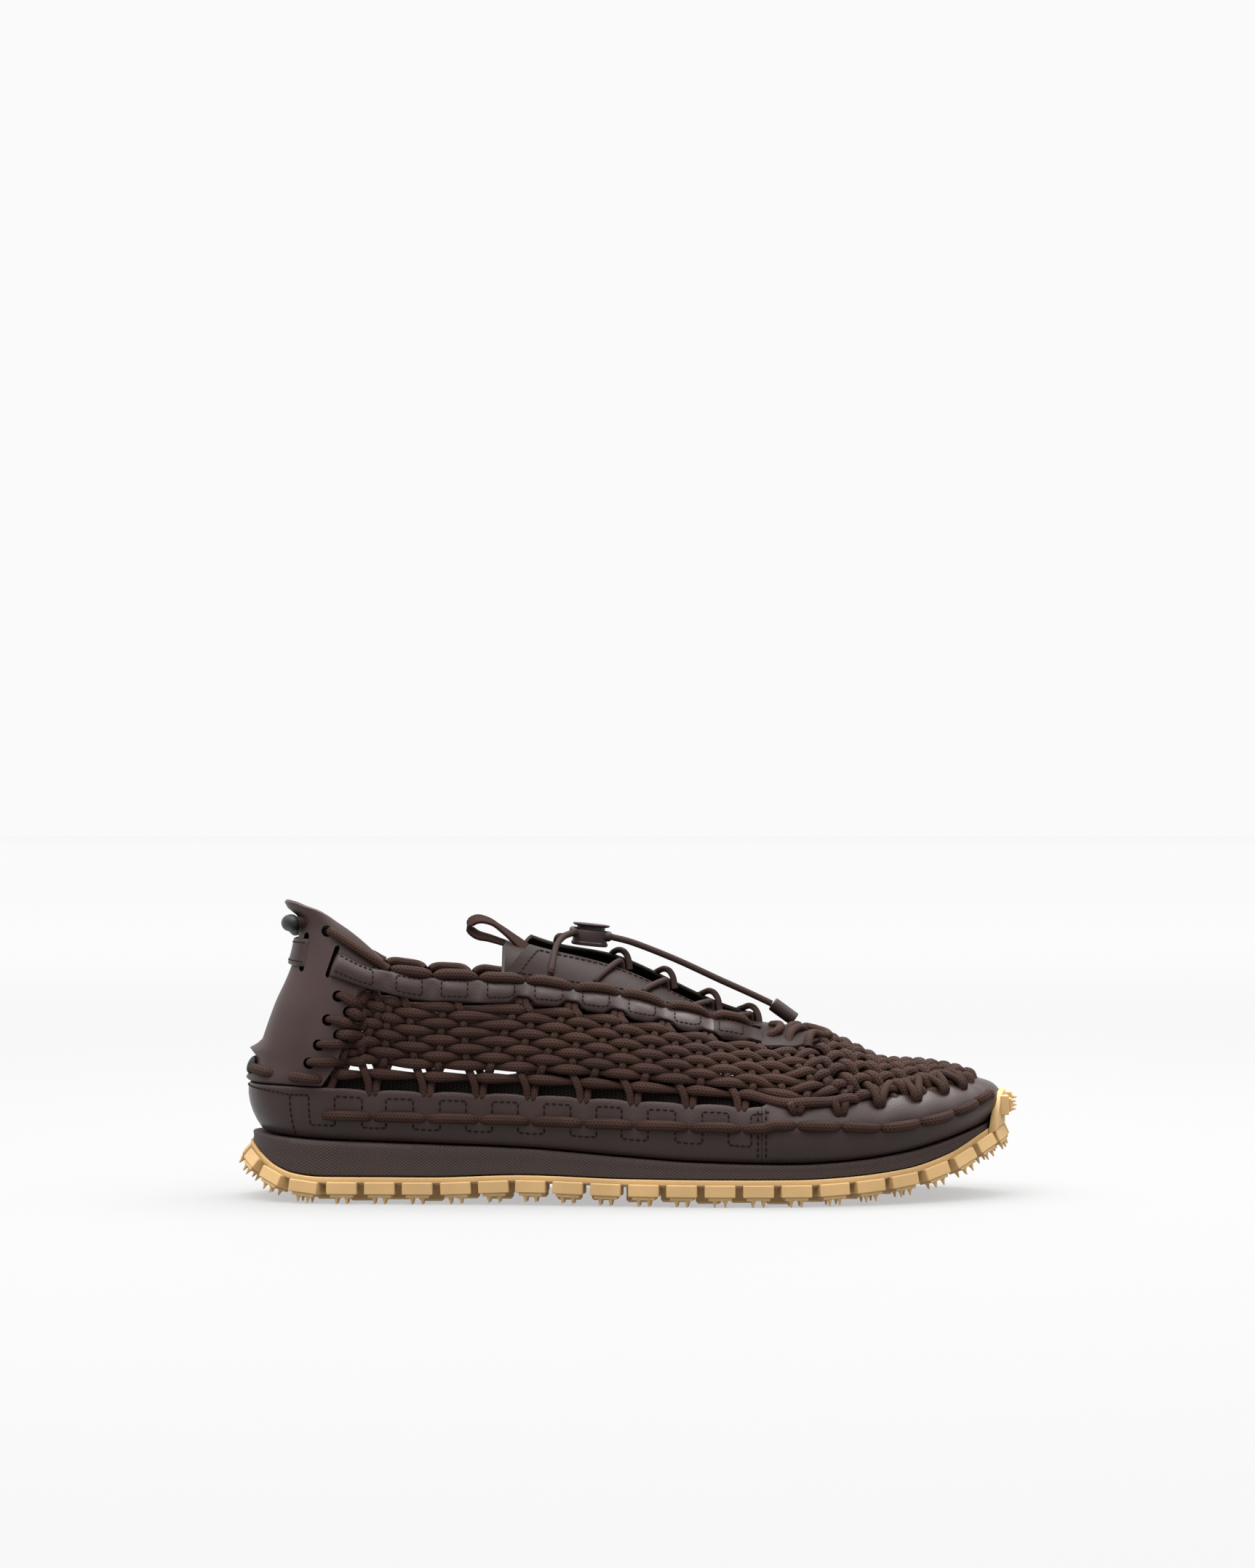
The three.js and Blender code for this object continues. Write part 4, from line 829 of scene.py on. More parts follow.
def cord_look(name, colour, columns=5.0, lay=1.25):
    """Braided cord: columns of short strands that slant in turn to one side and the other, with painted shade
    in the valleys between the strands.
    """
    look = Look(name, 0.1)
    along, around = look.pattern()
    zigzag = (around * columns).math("PINGPONG", 0.5)
    strands = abs((along * (math.pi / lay) + zigzag * (1.7 * math.pi)).sin())
    plait = strands ** 0.7 * (1.02 - abs(zigzag * 4.0 - 1.0)) ** 0.35
    fuzz = look.noise(5.5, 3.0)
    fresh = look.tones(look.patches(0.06), colour, 0.82, 1.2)
    worn = look.mix(fuzz.between(0.45, 0.8) * 0.6, fresh, shade(colour, 1.5))
    # Painted shade: the valleys between the strands are darkened to a third of the cord's colour.
    base = look.mix(plait.between(0.05, 0.7), shade(colour, 0.32), worn)
    return look.finished(base, 0.6 + 0.2 * fuzz, plait + 0.25 * fuzz, 0.7, 0.36)


def lace_look(name, colour):
    """Elastic lace with fine ribs along it, painted darker in the grooves and lighter on the ribs."""
    look = Look(name, 0.1)
    along, around = look.pattern()
    knit = (along * (math.pi / 0.8) + around * (math.pi * 6)).sin()
    height = abs(around.wave(1 / 12)) * 0.7 + abs(knit) * 0.3
    # Painted shade in the grooves and painted light on the ribs: the colour follows the rib height.
    base = look.tones(height.between(0.1, 0.8), colour, 0.5, 1.15)
    return look.finished(base, 0.62 + 0.12 * look.noise(3.0), height, 0.6, 0.16)


def gum_look(name, colour):
    """Gum rubber, slightly milky, with a matte skin and faint specks of dust."""
    look = Look(name, 0.4, Subsurface_Weight=0.22, Subsurface_Radius=(1.0, 0.55, 0.25),
                Subsurface_Scale=0.0025)
    fine = look.noise(1.4, 3.0)
    clean = look.tones(look.patches(0.035, 3.0), colour, 0.92, 1.08)
    base = look.mix(fine.between(0.5, 0.85) * 0.35, clean, shade(colour, 0.78))
    return look.finished(base, 0.5 + 0.16 * fine, fine, 0.18, 0.12)


def midsole_look(name, colour):
    """Foam rubber with small embossed diamonds on its side, painted darker in the grooves between them."""
    look = Look(name, 0.22)
    along, across = look.pattern()
    rising, falling = along * (math.pi / 1.6), across * (math.pi / 1.15)
    diamonds = abs((rising + falling).sin() * (rising - falling).sin()).between(0.1, 0.6)
    fine = look.noise(3.5)
    worn = look.tones(look.patches(0.05), colour, 0.9, 1.12)
    # Painted shade: the grooves between the diamonds are darkened.
    base = look.mix(diamonds * 0.5, shade(colour, 0.8), worn)
    return look.finished(base, 0.5 + 0.2 * fine, diamonds + 0.15 * fine, 0.55, 0.3)


def moulded_look(name, colour, roughness, grain):
    """Smooth moulded plastic or rubber with a faint skin texture."""
    look = Look(name, 0.25)
    fine = look.noise(2.2, 3.0)
    broad = look.patches(0.04)
    base = look.tones(broad, colour, 0.9, 1.1)
    return look.finished(base, roughness + 0.1 * fine + 0.06 * broad, fine, grain, 0.15)


def mesh_look(name, colour):
    """Knitted lining with rows of small holes, painted dark in the holes and lighter on the yarn between
    them.
    """
    look = Look(name, 0.15)
    along, across = look.pattern()
    slant = across * (math.pi / 1.3) + along * (math.pi / 3.0)
    holes = abs(along.wave(1.5) * slant.sin())
    # Painted shade in the holes and painted light on the yarn: the colour follows the knit's height.
    base = look.tones(holes.between(0.2, 0.8), colour, 0.25, 1.2)
    return look.finished(base, 0.85 + 0.1 * look.noise(3.0), holes, 0.7, 0.4)


def webbing_look(name, colour):
    """Narrow woven tape with ribs across it, painted darker between the ribs and lighter on them."""
    look = Look(name, 0.06)
    along, across = look.pattern()
    warp = (across * (math.pi / 0.6) + along * (math.pi / 1.5)).sin()
    height = abs(along.wave(0.75)) * 0.5 + abs(warp) * 0.5
    # Painted shade between the ribs and painted light on them: the colour follows the rib height.
    base = look.tones(height.between(0.15, 0.85), colour, 0.5, 1.25)
    return look.finished(base, 0.8 + 0.12 * look.noise(3.0), height, 0.6, 0.25)


def cut_edge_look(name, colour):
    """Raw cut edge of leather with its fibres."""
    look = Look(name, 0.2)
    fibres = look.noise(4.0, 4.0)
    base = look.tones(fibres.between(0.3, 0.7), colour, 0.6, 1.2)
    return look.finished(base, 0.85 + 0.1 * fibres, fibres, 0.5, 0.3)


def thread_look(name, colour):
    """Twisted sewing thread, painted darker between its strands and lighter on them."""
    look = Look(name, 0.1)
    along, around = look.pattern()
    twist = abs((along * (math.pi / 0.35) + around * math.pi).sin())
    # Painted shade between the strands and painted light on them: the colour follows the twist height.
    return look.finished(look.tones(twist, colour, 0.6, 1.1), 0.65 + 0.2 * twist, twist, 0.5, 0.1)


def floor_look(colour):
    """Matte pale floor, partly lit from below, and paler towards the back, where less light reaches it."""
    look = Look("studio_floor", 0.1, Roughness=0.9, Emission_Color=colour, Emission_Strength=1.62)
    depth = look.place(1.0).parts()[1]
    front = look.tones(depth.between(0.1, 3.0), colour, 0.45, 0.61)
    look.set(Base_Color=look.mix(depth.between(4.0, 12.0), front, shade(colour, 0.77)))
    return look.owner


def backdrop_look(colour):
    """Evenly lit backdrop far behind the shoe."""
    look = Look("studio_backdrop", 0.0, Roughness=1.0, Base_Color=(0, 0, 0), Emission_Strength=1.0)
    look.set(Emission_Color=look.mix(look.noise(0.004).between(0.2, 0.8), shade(colour, 0.998), colour))
    return look.owner


# Settings


def colour_setting(label, about, colour):
    return FloatVectorProperty(name=label, description=about, default=colour, min=0, max=1, subtype="COLOR")


def length_setting(label, about, metres):
    return FloatProperty(name=label, description=about, default=metres, min=0, unit="LENGTH", precision=4)


class SneakerSizes(bpy.types.PropertyGroup):
    """Sizes of the repeated details"""

    cord: length_setting("Cord", "Width of the braided cord where it lies free", 0.0038)
    lace: length_setting("Lace", "Diameter of the elastic lace", 0.0024)
    stud: length_setting("Stud", "Height of the small studs under each lug", 0.0027)
    toe_pitch: length_setting("Toe weave", "Distance between cords of the weave on the toe", 0.0064)


class SneakerColours(bpy.types.PropertyGroup):
    """Linear colours of the finishes"""

    gum: colour_setting("Gum", "Outsole rubber", (0.43, 0.275, 0.118))
    midsole: colour_setting("Midsole", "Midsole foam", (0.038, 0.0245, 0.0220))
    leather: colour_setting("Leather", "Rand and collar band", (0.0295, 0.0178, 0.0163))
    # Throat leather: the rand's leather darkened to a little over half, painted shade on the eyestays, apron,
    # tongue and the front of the band.
    throat: colour_setting("Throat leather", "Eyestays, apron and tongue", (0.0165, 0.0095, 0.0083))
    counter: colour_setting("Counter", "Moulded heel counter", (0.0335, 0.0182, 0.0162))
    cord: colour_setting("Cord", "Braided cord", (0.0355, 0.0166, 0.0120))
    lace: colour_setting("Lace", "Elastic lace", (0.030, 0.0165, 0.0138))
    lock: colour_setting("Lock", "Cord lock and end piece", (0.0185, 0.0097, 0.0092))
    webbing: colour_setting("Webbing", "Pull loop", (0.0245, 0.0122, 0.0098))
    thread: colour_setting("Thread", "Stitching", (0.0115, 0.0060, 0.0050))
    lining: colour_setting("Lining", "Mesh lining and insole", (0.012, 0.0072, 0.0062))
    rubber: colour_setting("Rubber", "Heel sleeve and grip", (0.0135, 0.0148, 0.0150))
    pale_edge: colour_setting("Pale edge", "Cut edge of the tongue", (0.075, 0.070, 0.064))
    dark_edge: colour_setting("Dark edge", "Cut edge of the eyestays", (0.030, 0.0270, 0.0210))
    floor: colour_setting("Floor", "Pale floor", (0.285, 0.285, 0.285))
    backdrop: colour_setting("Backdrop", "Backdrop far behind the shoe", (0.957, 0.957, 0.957))


class SneakerView(bpy.types.PropertyGroup):
    """Camera of the product view"""

    distance: length_setting("Distance", "From the camera to the outer side of the shoe", 1.698)
    height: length_setting("Height", "Of the camera above the floor", 0.157)
    lens: FloatProperty(name="Lens", description="Focal length", default=105.4, unit="CAMERA")


@lru_cache(maxsize=None)
def looks():
    """Every finish by name."""
    colours = bpy.context.scene.sneaker_colours
    return {
        "leather": leather_look("leather", colours.leather, 0.21),
        # Darker copy of the leather: painted shade on the upward facing pieces round the lace opening.
        "throat": leather_look("throat_leather", colours.throat, 0.05),
        "counter": moulded_look("moulded_counter", colours.counter, 0.40, 0.12),
        "cord": cord_look("braided_cord", colours.cord),
        "lace": lace_look("elastic_lace", colours.lace),
        "gum": gum_look("gum_rubber", colours.gum),
        "midsole": midsole_look("midsole_foam", colours.midsole),
        "lock": moulded_look("lock_plastic", colours.lock, 0.34, 0.05),
        "rubber": moulded_look("sleeve_rubber", colours.rubber, 0.42, 0.2),
        "grip": moulded_look("grip_rubber", shade(colours.rubber, 0.5), 0.6, 0.2),
        "webbing": webbing_look("webbing", colours.webbing),
        "thread": thread_look("sewing_thread", colours.thread),
        "lining": mesh_look("mesh_lining", colours.lining),
        "pale_edge": cut_edge_look("pale_cut_edge", colours.pale_edge),
        "dark_edge": cut_edge_look("dark_cut_edge", colours.dark_edge),
    }


# Sole

WEB = 3.2
WEB_EDGE = 0.9
STEEP_LIMIT = 1.7
LUG = {
    "first_x": 28, "tuck": 2.2, "pitch": 14.1, "length": 11.4, "proud": 1.6, "depth": 7.5, "top": 1.7,
    "bottom": 6.3,
}
STEP = {"length": 8.7, "top": 5.7, "bottom": 7.5, "proud": 0.9, "depth": 6.5}
STUD = {"apart": 3.9, "rows": (1.8, 6.5), "radius": 1.1}
STUD_LEVELS = (-0.15, 0.0, 0.25, 0.6, 0.88, 1.0)
STUD_RADII = (1.15, 1.0, 0.66, 0.42, 0.3, 0.12)
INNER_LUG = {"length": 9.5, "width": 11.5}
INNER_LUGS = {
    36: (-10, 10), 49: (-17, 0, 16), 62: (-12, 10), 75: (-19, -1, 17), 88: (-12, 9), 101: (-20, -2, 16),
    114: (-14, 8), 127: (-22, -4, 14), 140: (-19, 0, 17), 153: (-25, -9, 7, 21), 166: (-24, -3, 18),
    179: (-31, -14, 6, 25), 192: (-27, -2, 23), 205: (-32, -14, 6, 27), 218: (-24, -3, 20),
    231: (-19, 3, 25), 244: (-11, 13),
}
BUMPER = {"from": -15, "to": 40, "middle": 7, "near": 2.4, "far": 5.0, "top": 40.4, "sunk": 2, "steps": 30}
BUMPER_LUGS = {
    "angles": (0, 13, 26), "middles": (34.4, 35.2, 34.2), "size": (9.5, 7.4, 3.2), "step": (6.4, 5.2, 3.2),
    "stud_foot": 2.5, "stud_share": 0.75, "stud_aside": 1.7, "stud_up": 1.5,
}
WEB_RIM = ((0.5, 0, 0), (0.1, 0, 0.3), (0, 0, 0.8), (0.1, 0.6, 0), (0.6, 0.72, 0), (5, 1, 0))
MIDSOLE_RIM = ((2.2, 0, 0), (0.9, 0, 0.05), (0.25, 0.05, 0), (0.02, 0.16, 0), (0.2, 0.38, 0), (0.25, 0.62, 0),
               (0.05, 0.85, 0), (0.1, 0.96, 0), (0.8, 1, 0))
INSOLE = {"thick": 3.2, "gap": 2.8}
INSOLE_RIM = ((4, 0, 0.5), (1.5, 0, 0), (0.3, 0, 0.3), (0, 0.5, 0), (0.4, 1, 0))
SOLE_REACH = 10.0


def web_top(x):
    return sole_bottom(x) - SEAT_GAP


def sole_slope(x, step=0.5):
    return (sole_bottom(x + step) - sole_bottom(x - step)) / (2 * step)


def web_bottom(x):
    return web_top(x) - WEB * min(math.hypot(1, sole_slope(x)), STEEP_LIMIT)


def slab(shape, edge, high, low, rim, step=3.0, shares=(0.0, 0.35, 0.7)):
    """Flat piece round the spine; its rim goes down by (inset, share of the height, drop) from its edge."""
    grid = []
    for walk, run in full_ring(step):
        s = walk.station(run)
        outline = s.reach + edge(s)
        first, last = outline - rim[0][0], outline - rim[-1][0]
        row = [(first * t, *rim[0][1:]) for t in shares]
        row += [(outline - inset, share, drop) for inset, share, drop in rim]
        row += [(last * t, *rim[-1][1:]) for t in reversed(shares)]
        places = []
        for r, share, drop in row:
            x, y, _ = s.place(r, 0)
            places.append((x, y, lerp(high(x), low(x), share) - drop))
        grid.append(places)
    grid.append(grid[0])
    shape.rows(grid)


def sole_edge():
    """Places round the edge of the sole with their outward directions, at the top of the web."""
    places, outs = [], []
    for walk, run in full_ring(3.0):
        s = walk.station(run)
        tucked = LUG["tuck"] * s.direction[0] ** 2 if s.centre[0] == HEEL_X and s.direction[0] < 0 else 0
        p = s.place(s.reach + ledge(s.x) + WEB_EDGE - tucked, 0)
        p[2] = web_top(p[0])
        places.append(p)
        outs.append((*s.direction, 0.0))
    return np.array(places), np.array(outs)


def stud(shape, foot, down, along, height):
    """Small cone with a round tip."""
    path = [foot + down * height * t for t in STUD_LEVELS]
    shape.tube(path, np.array(STUD_RADII) * STUD["radius"], hint=along, sides=12)


def lug(shape, edge, along, out, down, stud_height):
    """Block, step and studs of one lug at the edge of the sole."""
    for block, chamfer in ((LUG, 0.32), (STEP, 0.2)):
        top, bottom, proud, depth = (block[key] for key in ("top", "bottom", "proud", "depth"))
        middle = edge + down * (top + bottom) / 2 + out * (proud - depth) / 2
        shape.box(middle, (along, out, down), (block["length"], proud + depth, bottom - top), chamfer)
    for inset in STUD["rows"]:
        for side in SIDES:
            foot = edge + down * STEP["bottom"] + out * (LUG["proud"] - inset)
            stud(shape, foot + along * side * STUD["apart"] / 2, down, along, stud_height)


def edge_lugs(shape, stud_height):
    edges, outs = sole_edge()
    ring = np.vstack([edges, edges[:1]])
    arcs = np.concatenate([[0], np.cumsum(np.linalg.norm(np.diff(ring, axis=0), axis=1))])
    count = round(arcs[-1] / LUG["pitch"])
    phase = arcs[int(np.argmax(edges[:, 0] >= LUG["first_x"]))]
    for n in range(count):
        target = (phase + n * arcs[-1] / count) % arcs[-1]
        k = bisect_right(arcs.tolist(), target) - 1
        edge = lerp(ring[k], ring[k + 1], (target - arcs[k]) / (arcs[k + 1] - arcs[k]))
        down = unit(np.array((sole_slope(edge[0]), 0, -1)))
        along = edges[(k + 2) % len(edges)] - edges[k - 1]
        along = unit(along - down * (along @ down))
        out = np.cross(along, down)
        if out @ outs[k] < 0:
            out = -out
        lug(shape, edge, along, out, down, min(stud_height, SOLE_REACH - STEP["bottom"]))


def toe_bumper(shape, stud_height):
    """Wall in front of the toe, with lugs and studs on its face."""

    def spot(angle, share, offset):
        s = toe_station(angle)
        end = BUMPER["from"] if angle < BUMPER["middle"] else BUMPER["to"]
        aside = abs((angle - BUMPER["middle"]) / (end - BUMPER["middle"]))
        r = s.reach + BUMPER["near"] + offset
        low = web_top(s.place(r, 0)[0]) - BUMPER["sunk"]
        high = max(lerp(BUMPER["top"], web_top(s.x), aside**3), low + SEAT_GAP)
        return s.place(r, lerp(low, high, share))

    angles = np.linspace(BUMPER["from"], BUMPER["to"], BUMPER["steps"])

    shape.panel(angles, spot, BUMPER["far"] - BUMPER["near"], levels=8)
    up = np.array((0.0, 0.0, 1.0))
    for angle, middle in zip(BUMPER_LUGS["angles"], BUMPER_LUGS["middles"]):
        s = toe_station(angle)
        out = np.array((*s.direction, 0.0))
        along = np.array((-s.direction[1], s.direction[0], 0.0))
        face = s.place(s.reach + BUMPER["far"], middle)
        shape.box(face, (along, up, out), BUMPER_LUGS["size"], 0.25)
        shape.box(face + out, (along, up, out), BUMPER_LUGS["step"], 0.35)
        for side in SIDES:
            for level in SIDES:
                foot = face + out * BUMPER_LUGS["stud_foot"]
                foot = foot + along * side * BUMPER_LUGS["stud_aside"] + up * level * BUMPER_LUGS["stud_up"]
                stud(shape, foot, out, along, BUMPER_LUGS["stud_share"] * stud_height)


class SNEAKER_OT_outsole(bpy.types.Operator):
    """Gum rubber outsole: web, lugs with their studs, inner lugs and toe bumper"""

    bl_idname = "sneaker.outsole"
    bl_label = "Outsole"

    def execute(self, context):
        stud_height = context.scene.sneaker_sizes.stud / MM
        shape = Shape()
        slab(shape, lambda s: ledge(s.x) + WEB_EDGE, web_top, web_bottom, WEB_RIM)
        edge_lugs(shape, stud_height)
        for x, ys in INNER_LUGS.items():
            top, bottom = web_bottom(x) + 1, max(web_top(x) - SOLE_REACH, 0)
            for y in ys:
                size = (INNER_LUG["length"], INNER_LUG["width"], top - bottom)
                shape.box((x, y, (top + bottom) / 2), np.eye(3), size, 0.8)
        toe_bumper(shape, stud_height)
        shape.points = [(x, y, max(z, 0.0)) for x, y, z in shape.points]
        shape.made("outsole_tread", "gum", "gum_rubber", "outsole", sharp=32)
        return {"FINISHED"}


class SNEAKER_OT_midsole(bpy.types.Operator):
    """Foam midsole with a textured side"""

    bl_idname = "sneaker.midsole"
    bl_label = "Midsole"

    def execute(self, context):
        shape = Shape()
        slab(shape, lambda s: ledge(s.x), sole_top, sole_bottom, MIDSOLE_RIM, step=2.0)
        shape.made("midsole_foam", "midsole", "midsole_foam", "midsole")
        return {"FINISHED"}


class SNEAKER_OT_insole(bpy.types.Operator):
    """Insole with a knitted cover and a raised edge"""

    bl_idname = "sneaker.insole"
    bl_label = "Insole"

    def execute(self, context):
        shape = Shape()

        def low(x):
            return sole_top(x) + SEAT_GAP

        slab(shape, lambda s: -tuck(s.x) - INSOLE["gap"], lambda x: low(x) + INSOLE["thick"], low, INSOLE_RIM)
        shape.made("insole_cover", "lining", "insole_fabric", "insole")
        return {"FINISHED"}


# Leather

NOTCH_X = (53.3, 73.7, 93.3, 112.6, 132.4, 151.1, 171.5, 191, 211.4, 227.9)
TOE_NOTCH_X = (242.8, 257.5, 269.4, 278, 284.4)
BAND_NOTCH_X = (63.1, 83.2, 109.4, 127.7, 144.9, 162.6, 178.7, 197)
OPEN_BAND_NOTCHES = 2
RAND_SPLIT_X = 198.4
RAND_STITCH = {"top": 3.0, "bottom": 14.3, "seam": 19.0, "heel_x": (23.1, 30), "first_x": (39.2, 49.4)}
STITCH_LIFT = 0.05


def notches(side):
    walk = WALKS[side]
    return [walk.run_at(x) for x in NOTCH_X + TOE_NOTCH_X]


def rand_pinch(side, run):
    """1 at the notches where cords pull on the rand, falling to 0 between them."""
    return max(hump(run - notch, 3.6) for notch in notches(side))


def rand_spot(spot, share, offset):
    """Place on the rand; the pinched notches pull its top edge down and in."""
    side, run = spot
    s = WALKS[side].station(run)
    pinch = rand_pinch(side, run)
    on_toe = ease(RAND_SPLIT_X - 0.2, RAND_SPLIT_X + 5.5, s.x)
    top = s.rand_arc() + 0.4 + 1.9 * on_toe * (1 - ease(226, 246, s.x)) - pinch * 0.8 * (1 - on_toe)
    puff = 0.6 * math.sin(math.pi * clamp(share)) ** 0.7 - pinch * 0.9 * ease(0.3, 1.0, share)
    puff += on_toe * (1.1 * hump(share - 0.45, 0.25) - 0.9 * ease(0.6, 1.0, share))
    puff -= on_toe * 4.0 * ease(0.96, 1.25, share)
    return s.at(lerp(SEAT_GAP, top, share), SEAT_GAP + offset + puff)


def toe_rand_spot(spot, share, offset):
    """Place on the toe rand, whose top is tucked in under the weave."""
    x = WALKS[spot[0]].station(spot[1]).x
    return rand_spot(spot, share * (1 + 0.25 * ease(RAND_SPLIT_X, RAND_SPLIT_X + 8, x)), offset)


def rand_stitches(shape, side):
    """Stitching that steps up and down along the rand, high between the notches and low at them."""
    walk = WALKS[side]
    top, bottom = RAND_STITCH["top"], RAND_STITCH["bottom"]
    rear, front = (walk.run_at(x) for x in RAND_STITCH["heel_x"])
    marks = [run for run, x in zip(notches(side), NOTCH_X) if x < RAND_SPLIT_X]

    def place(run, drop):
        s = walk.station(run)
        share = 1 - drop / s.rand_arc()
        return rand_spot((side, run), share, LEATHER + STITCH_LIFT), s.out(share * s.rand_arc())

    spans = [tuple(walk.run_at(x) for x in RAND_STITCH["first_x"])]
    spans += [(lerp(a, b, 0.25), lerp(a, b, 0.75)) for a, b in zip(marks, [*marks[1:], marks[-1] + 14])]
    corners = [(front, bottom)]
    for start, end in spans:
        corners += [(start, bottom), (start, top), (end, top), (end, bottom)]
    stitched_corners(shape, place, corners[:-1])
    stitched_corners(shape, place, [(front, bottom), (front, top), (rear, top), (rear, RAND_STITCH["seam"])])
    curve = np.linspace(0.5, rear, 14)
    stitched(shape, place, zip(curve, 1.2 + 1.8 * (curve / rear) ** 2))
    for shift in (-1.4, 1.6):
        seam = walk.run_at(RAND_SPLIT_X) + shift
        stitched(shape, place, np.linspace((seam, 1.5), (seam, RAND_STITCH["seam"]), 10))


class SNEAKER_OT_rand(bpy.types.Operator):
    """Leather rand round the bottom of the upper, in a rear piece and a toe piece, with its stitching"""

    bl_idname = "sneaker.rand"
    bl_label = "Rand"

    def execute(self, context):
        outer, inner = WALKS[OUTER], WALKS[INNER]
        split = {side: WALKS[side].run_at(RAND_SPLIT_X) for side in SIDES}
        rear = [(OUTER, run) for run in runs_between(split[OUTER] - 0.1, 0, 1.6)]
        rear += [(INNER, run) for run in runs_between(0, split[INNER] - 0.1, 1.6)[1:]]
        toe = [(OUTER, run) for run in runs_between(split[OUTER] + 0.1, outer.length, 1.6)]
        toe += [(INNER, run) for run in runs_between(inner.length, split[INNER] + 0.1, 1.6)[1:]]
        for name, columns, spot in (("rand_rear", rear, rand_spot), ("toe_rand", toe, toe_rand_spot)):
            shape = Shape()
            shape.panel(columns, spot, LEATHER, levels=18, edge=0.04)
            shape.made(f"{name}_leather", "leather", "leather", name)
        stitches = Shape()
        for side in SIDES:
            rand_stitches(stitches, side)
        stitches.made("rand_stitching", "thread", "leather")
        return {"FINISHED"}


BAND = {"rear": 38.2, "out": 39.8, "lean": 3.2, "lean_to": 50, "front": 203, "sunk": 3.4}


def band_notch(x):
    """1 in the notches of the band's low edge."""
    return max(1 - ease(1.6, 5.6, abs(x - notch)) for notch in BAND_NOTCH_X[OPEN_BAND_NOTCHES:])


def band_tab(x):
    """1 in the middle of the stretch between two notches."""
    return 1 - max(hump(x - mark, 3.8) for mark in COLLAR_X)


def band_edges(s):
    low = s.arc_at_height(band_bottom(s.x)) - 0.8 + 3.0 * band_notch(s.x) - 1.4 * (1 - ease(42, 60, s.x))
    return low, s.arc_at_height(band_top(s.x) - SEAT_GAP)


def band_spot(spot, share, offset):
    """Place on the band, whose rear end leans and comes out of a slot of the counter."""
    x, side = spot
    front = ease(193, 202, x)
    puff = 2.0 * (1 - front) * band_tab(x) * math.sin(math.pi * clamp(share)) ** 0.6
    puff -= BAND["sunk"] * (1 - ease(BAND["rear"], BAND["out"], x)) + 1.2 * front
    lean = BAND["lean"] * (share - 0.5) * (1 - ease(BAND["rear"], BAND["lean_to"], x))
    s = side_station(x + lean, side)
    return s.at(lerp(*band_edges(s), share), SEAT_GAP + band_lift(x) + offset + puff)


def band_boxes(shape, side):
    """Small stitched rectangles on the band, one between each two notches; the first is open at the slot."""

    def place(x, share):
        return band_spot((x, side), share, LEATHER + STITCH_LIFT), side_station(x, side).out(60.0)

    boxes = [(lerp(a, b, 0.2), lerp(a, b, 0.77)) for a, b in zip(COLLAR_X, COLLAR_X[1:])]
    for low, high in [(BAND["out"], 53.4), *boxes]:
        corners = [(low, 0.2), (high, 0.2), (high, 0.86), (low, 0.86), (low, 0.2)]
        corners = corners[:4] if low < COLLAR_X[0] else corners
        stitched_corners(shape, place, corners, pitch=1.9, length=1.45, radius=0.3)


APRON_LEATHER = {"rear": 199, "front": 226.5, "least": 1.5, "over": 0.8, "lift": 0.6, "out_x": (200, 208)}
EYESTAY = {"low": 102, "high": 112, "front": 199.7}
EYESTAY_STITCHES = (((0.05, 0.12), (0.05, 0.86), 10), ((0.05, 0.86), (0.97, 0.86), 40),
                    ((0.03, 0.14), (0.97, 0.14), 40))
EYELET_X = (119.4, 136.3, 154.4, 172.5, 188.7)
EYELET_SHARES = (0.24, 0.17, 0.19, 0.10, 0.06)
INNER_EDGE = 0.5
INNER_RISE = 2.6


def eyestay_spot(spot, share, offset):
    """Place on an eyestay, whose rear edge slants forward."""
    t, side = spot
    x = lerp(lerp(EYESTAY["low"], EYESTAY["high"], clamp(share)), EYESTAY["front"], t)
    s = side_station(x, side)
    low = s.arc_at_height(band_top(s.x) + SEAT_GAP)
    high = s.arc_at_reach(throat_half(s.x) * (INNER_EDGE if side == INNER else 1))
    rise = INNER_RISE * ease(0.55, 1.0, share) * ease(118, 148, x) if side == INNER else 0
    return s.at(lerp(low, high, share), SEAT_GAP + offset + rise)


def eyestay_share(x, share):
    """Column of an eyestay at a length x and a share of its height."""
    rear = lerp(EYESTAY["low"], EYESTAY["high"], share)
    return (x - rear) / (EYESTAY["front"] - rear)


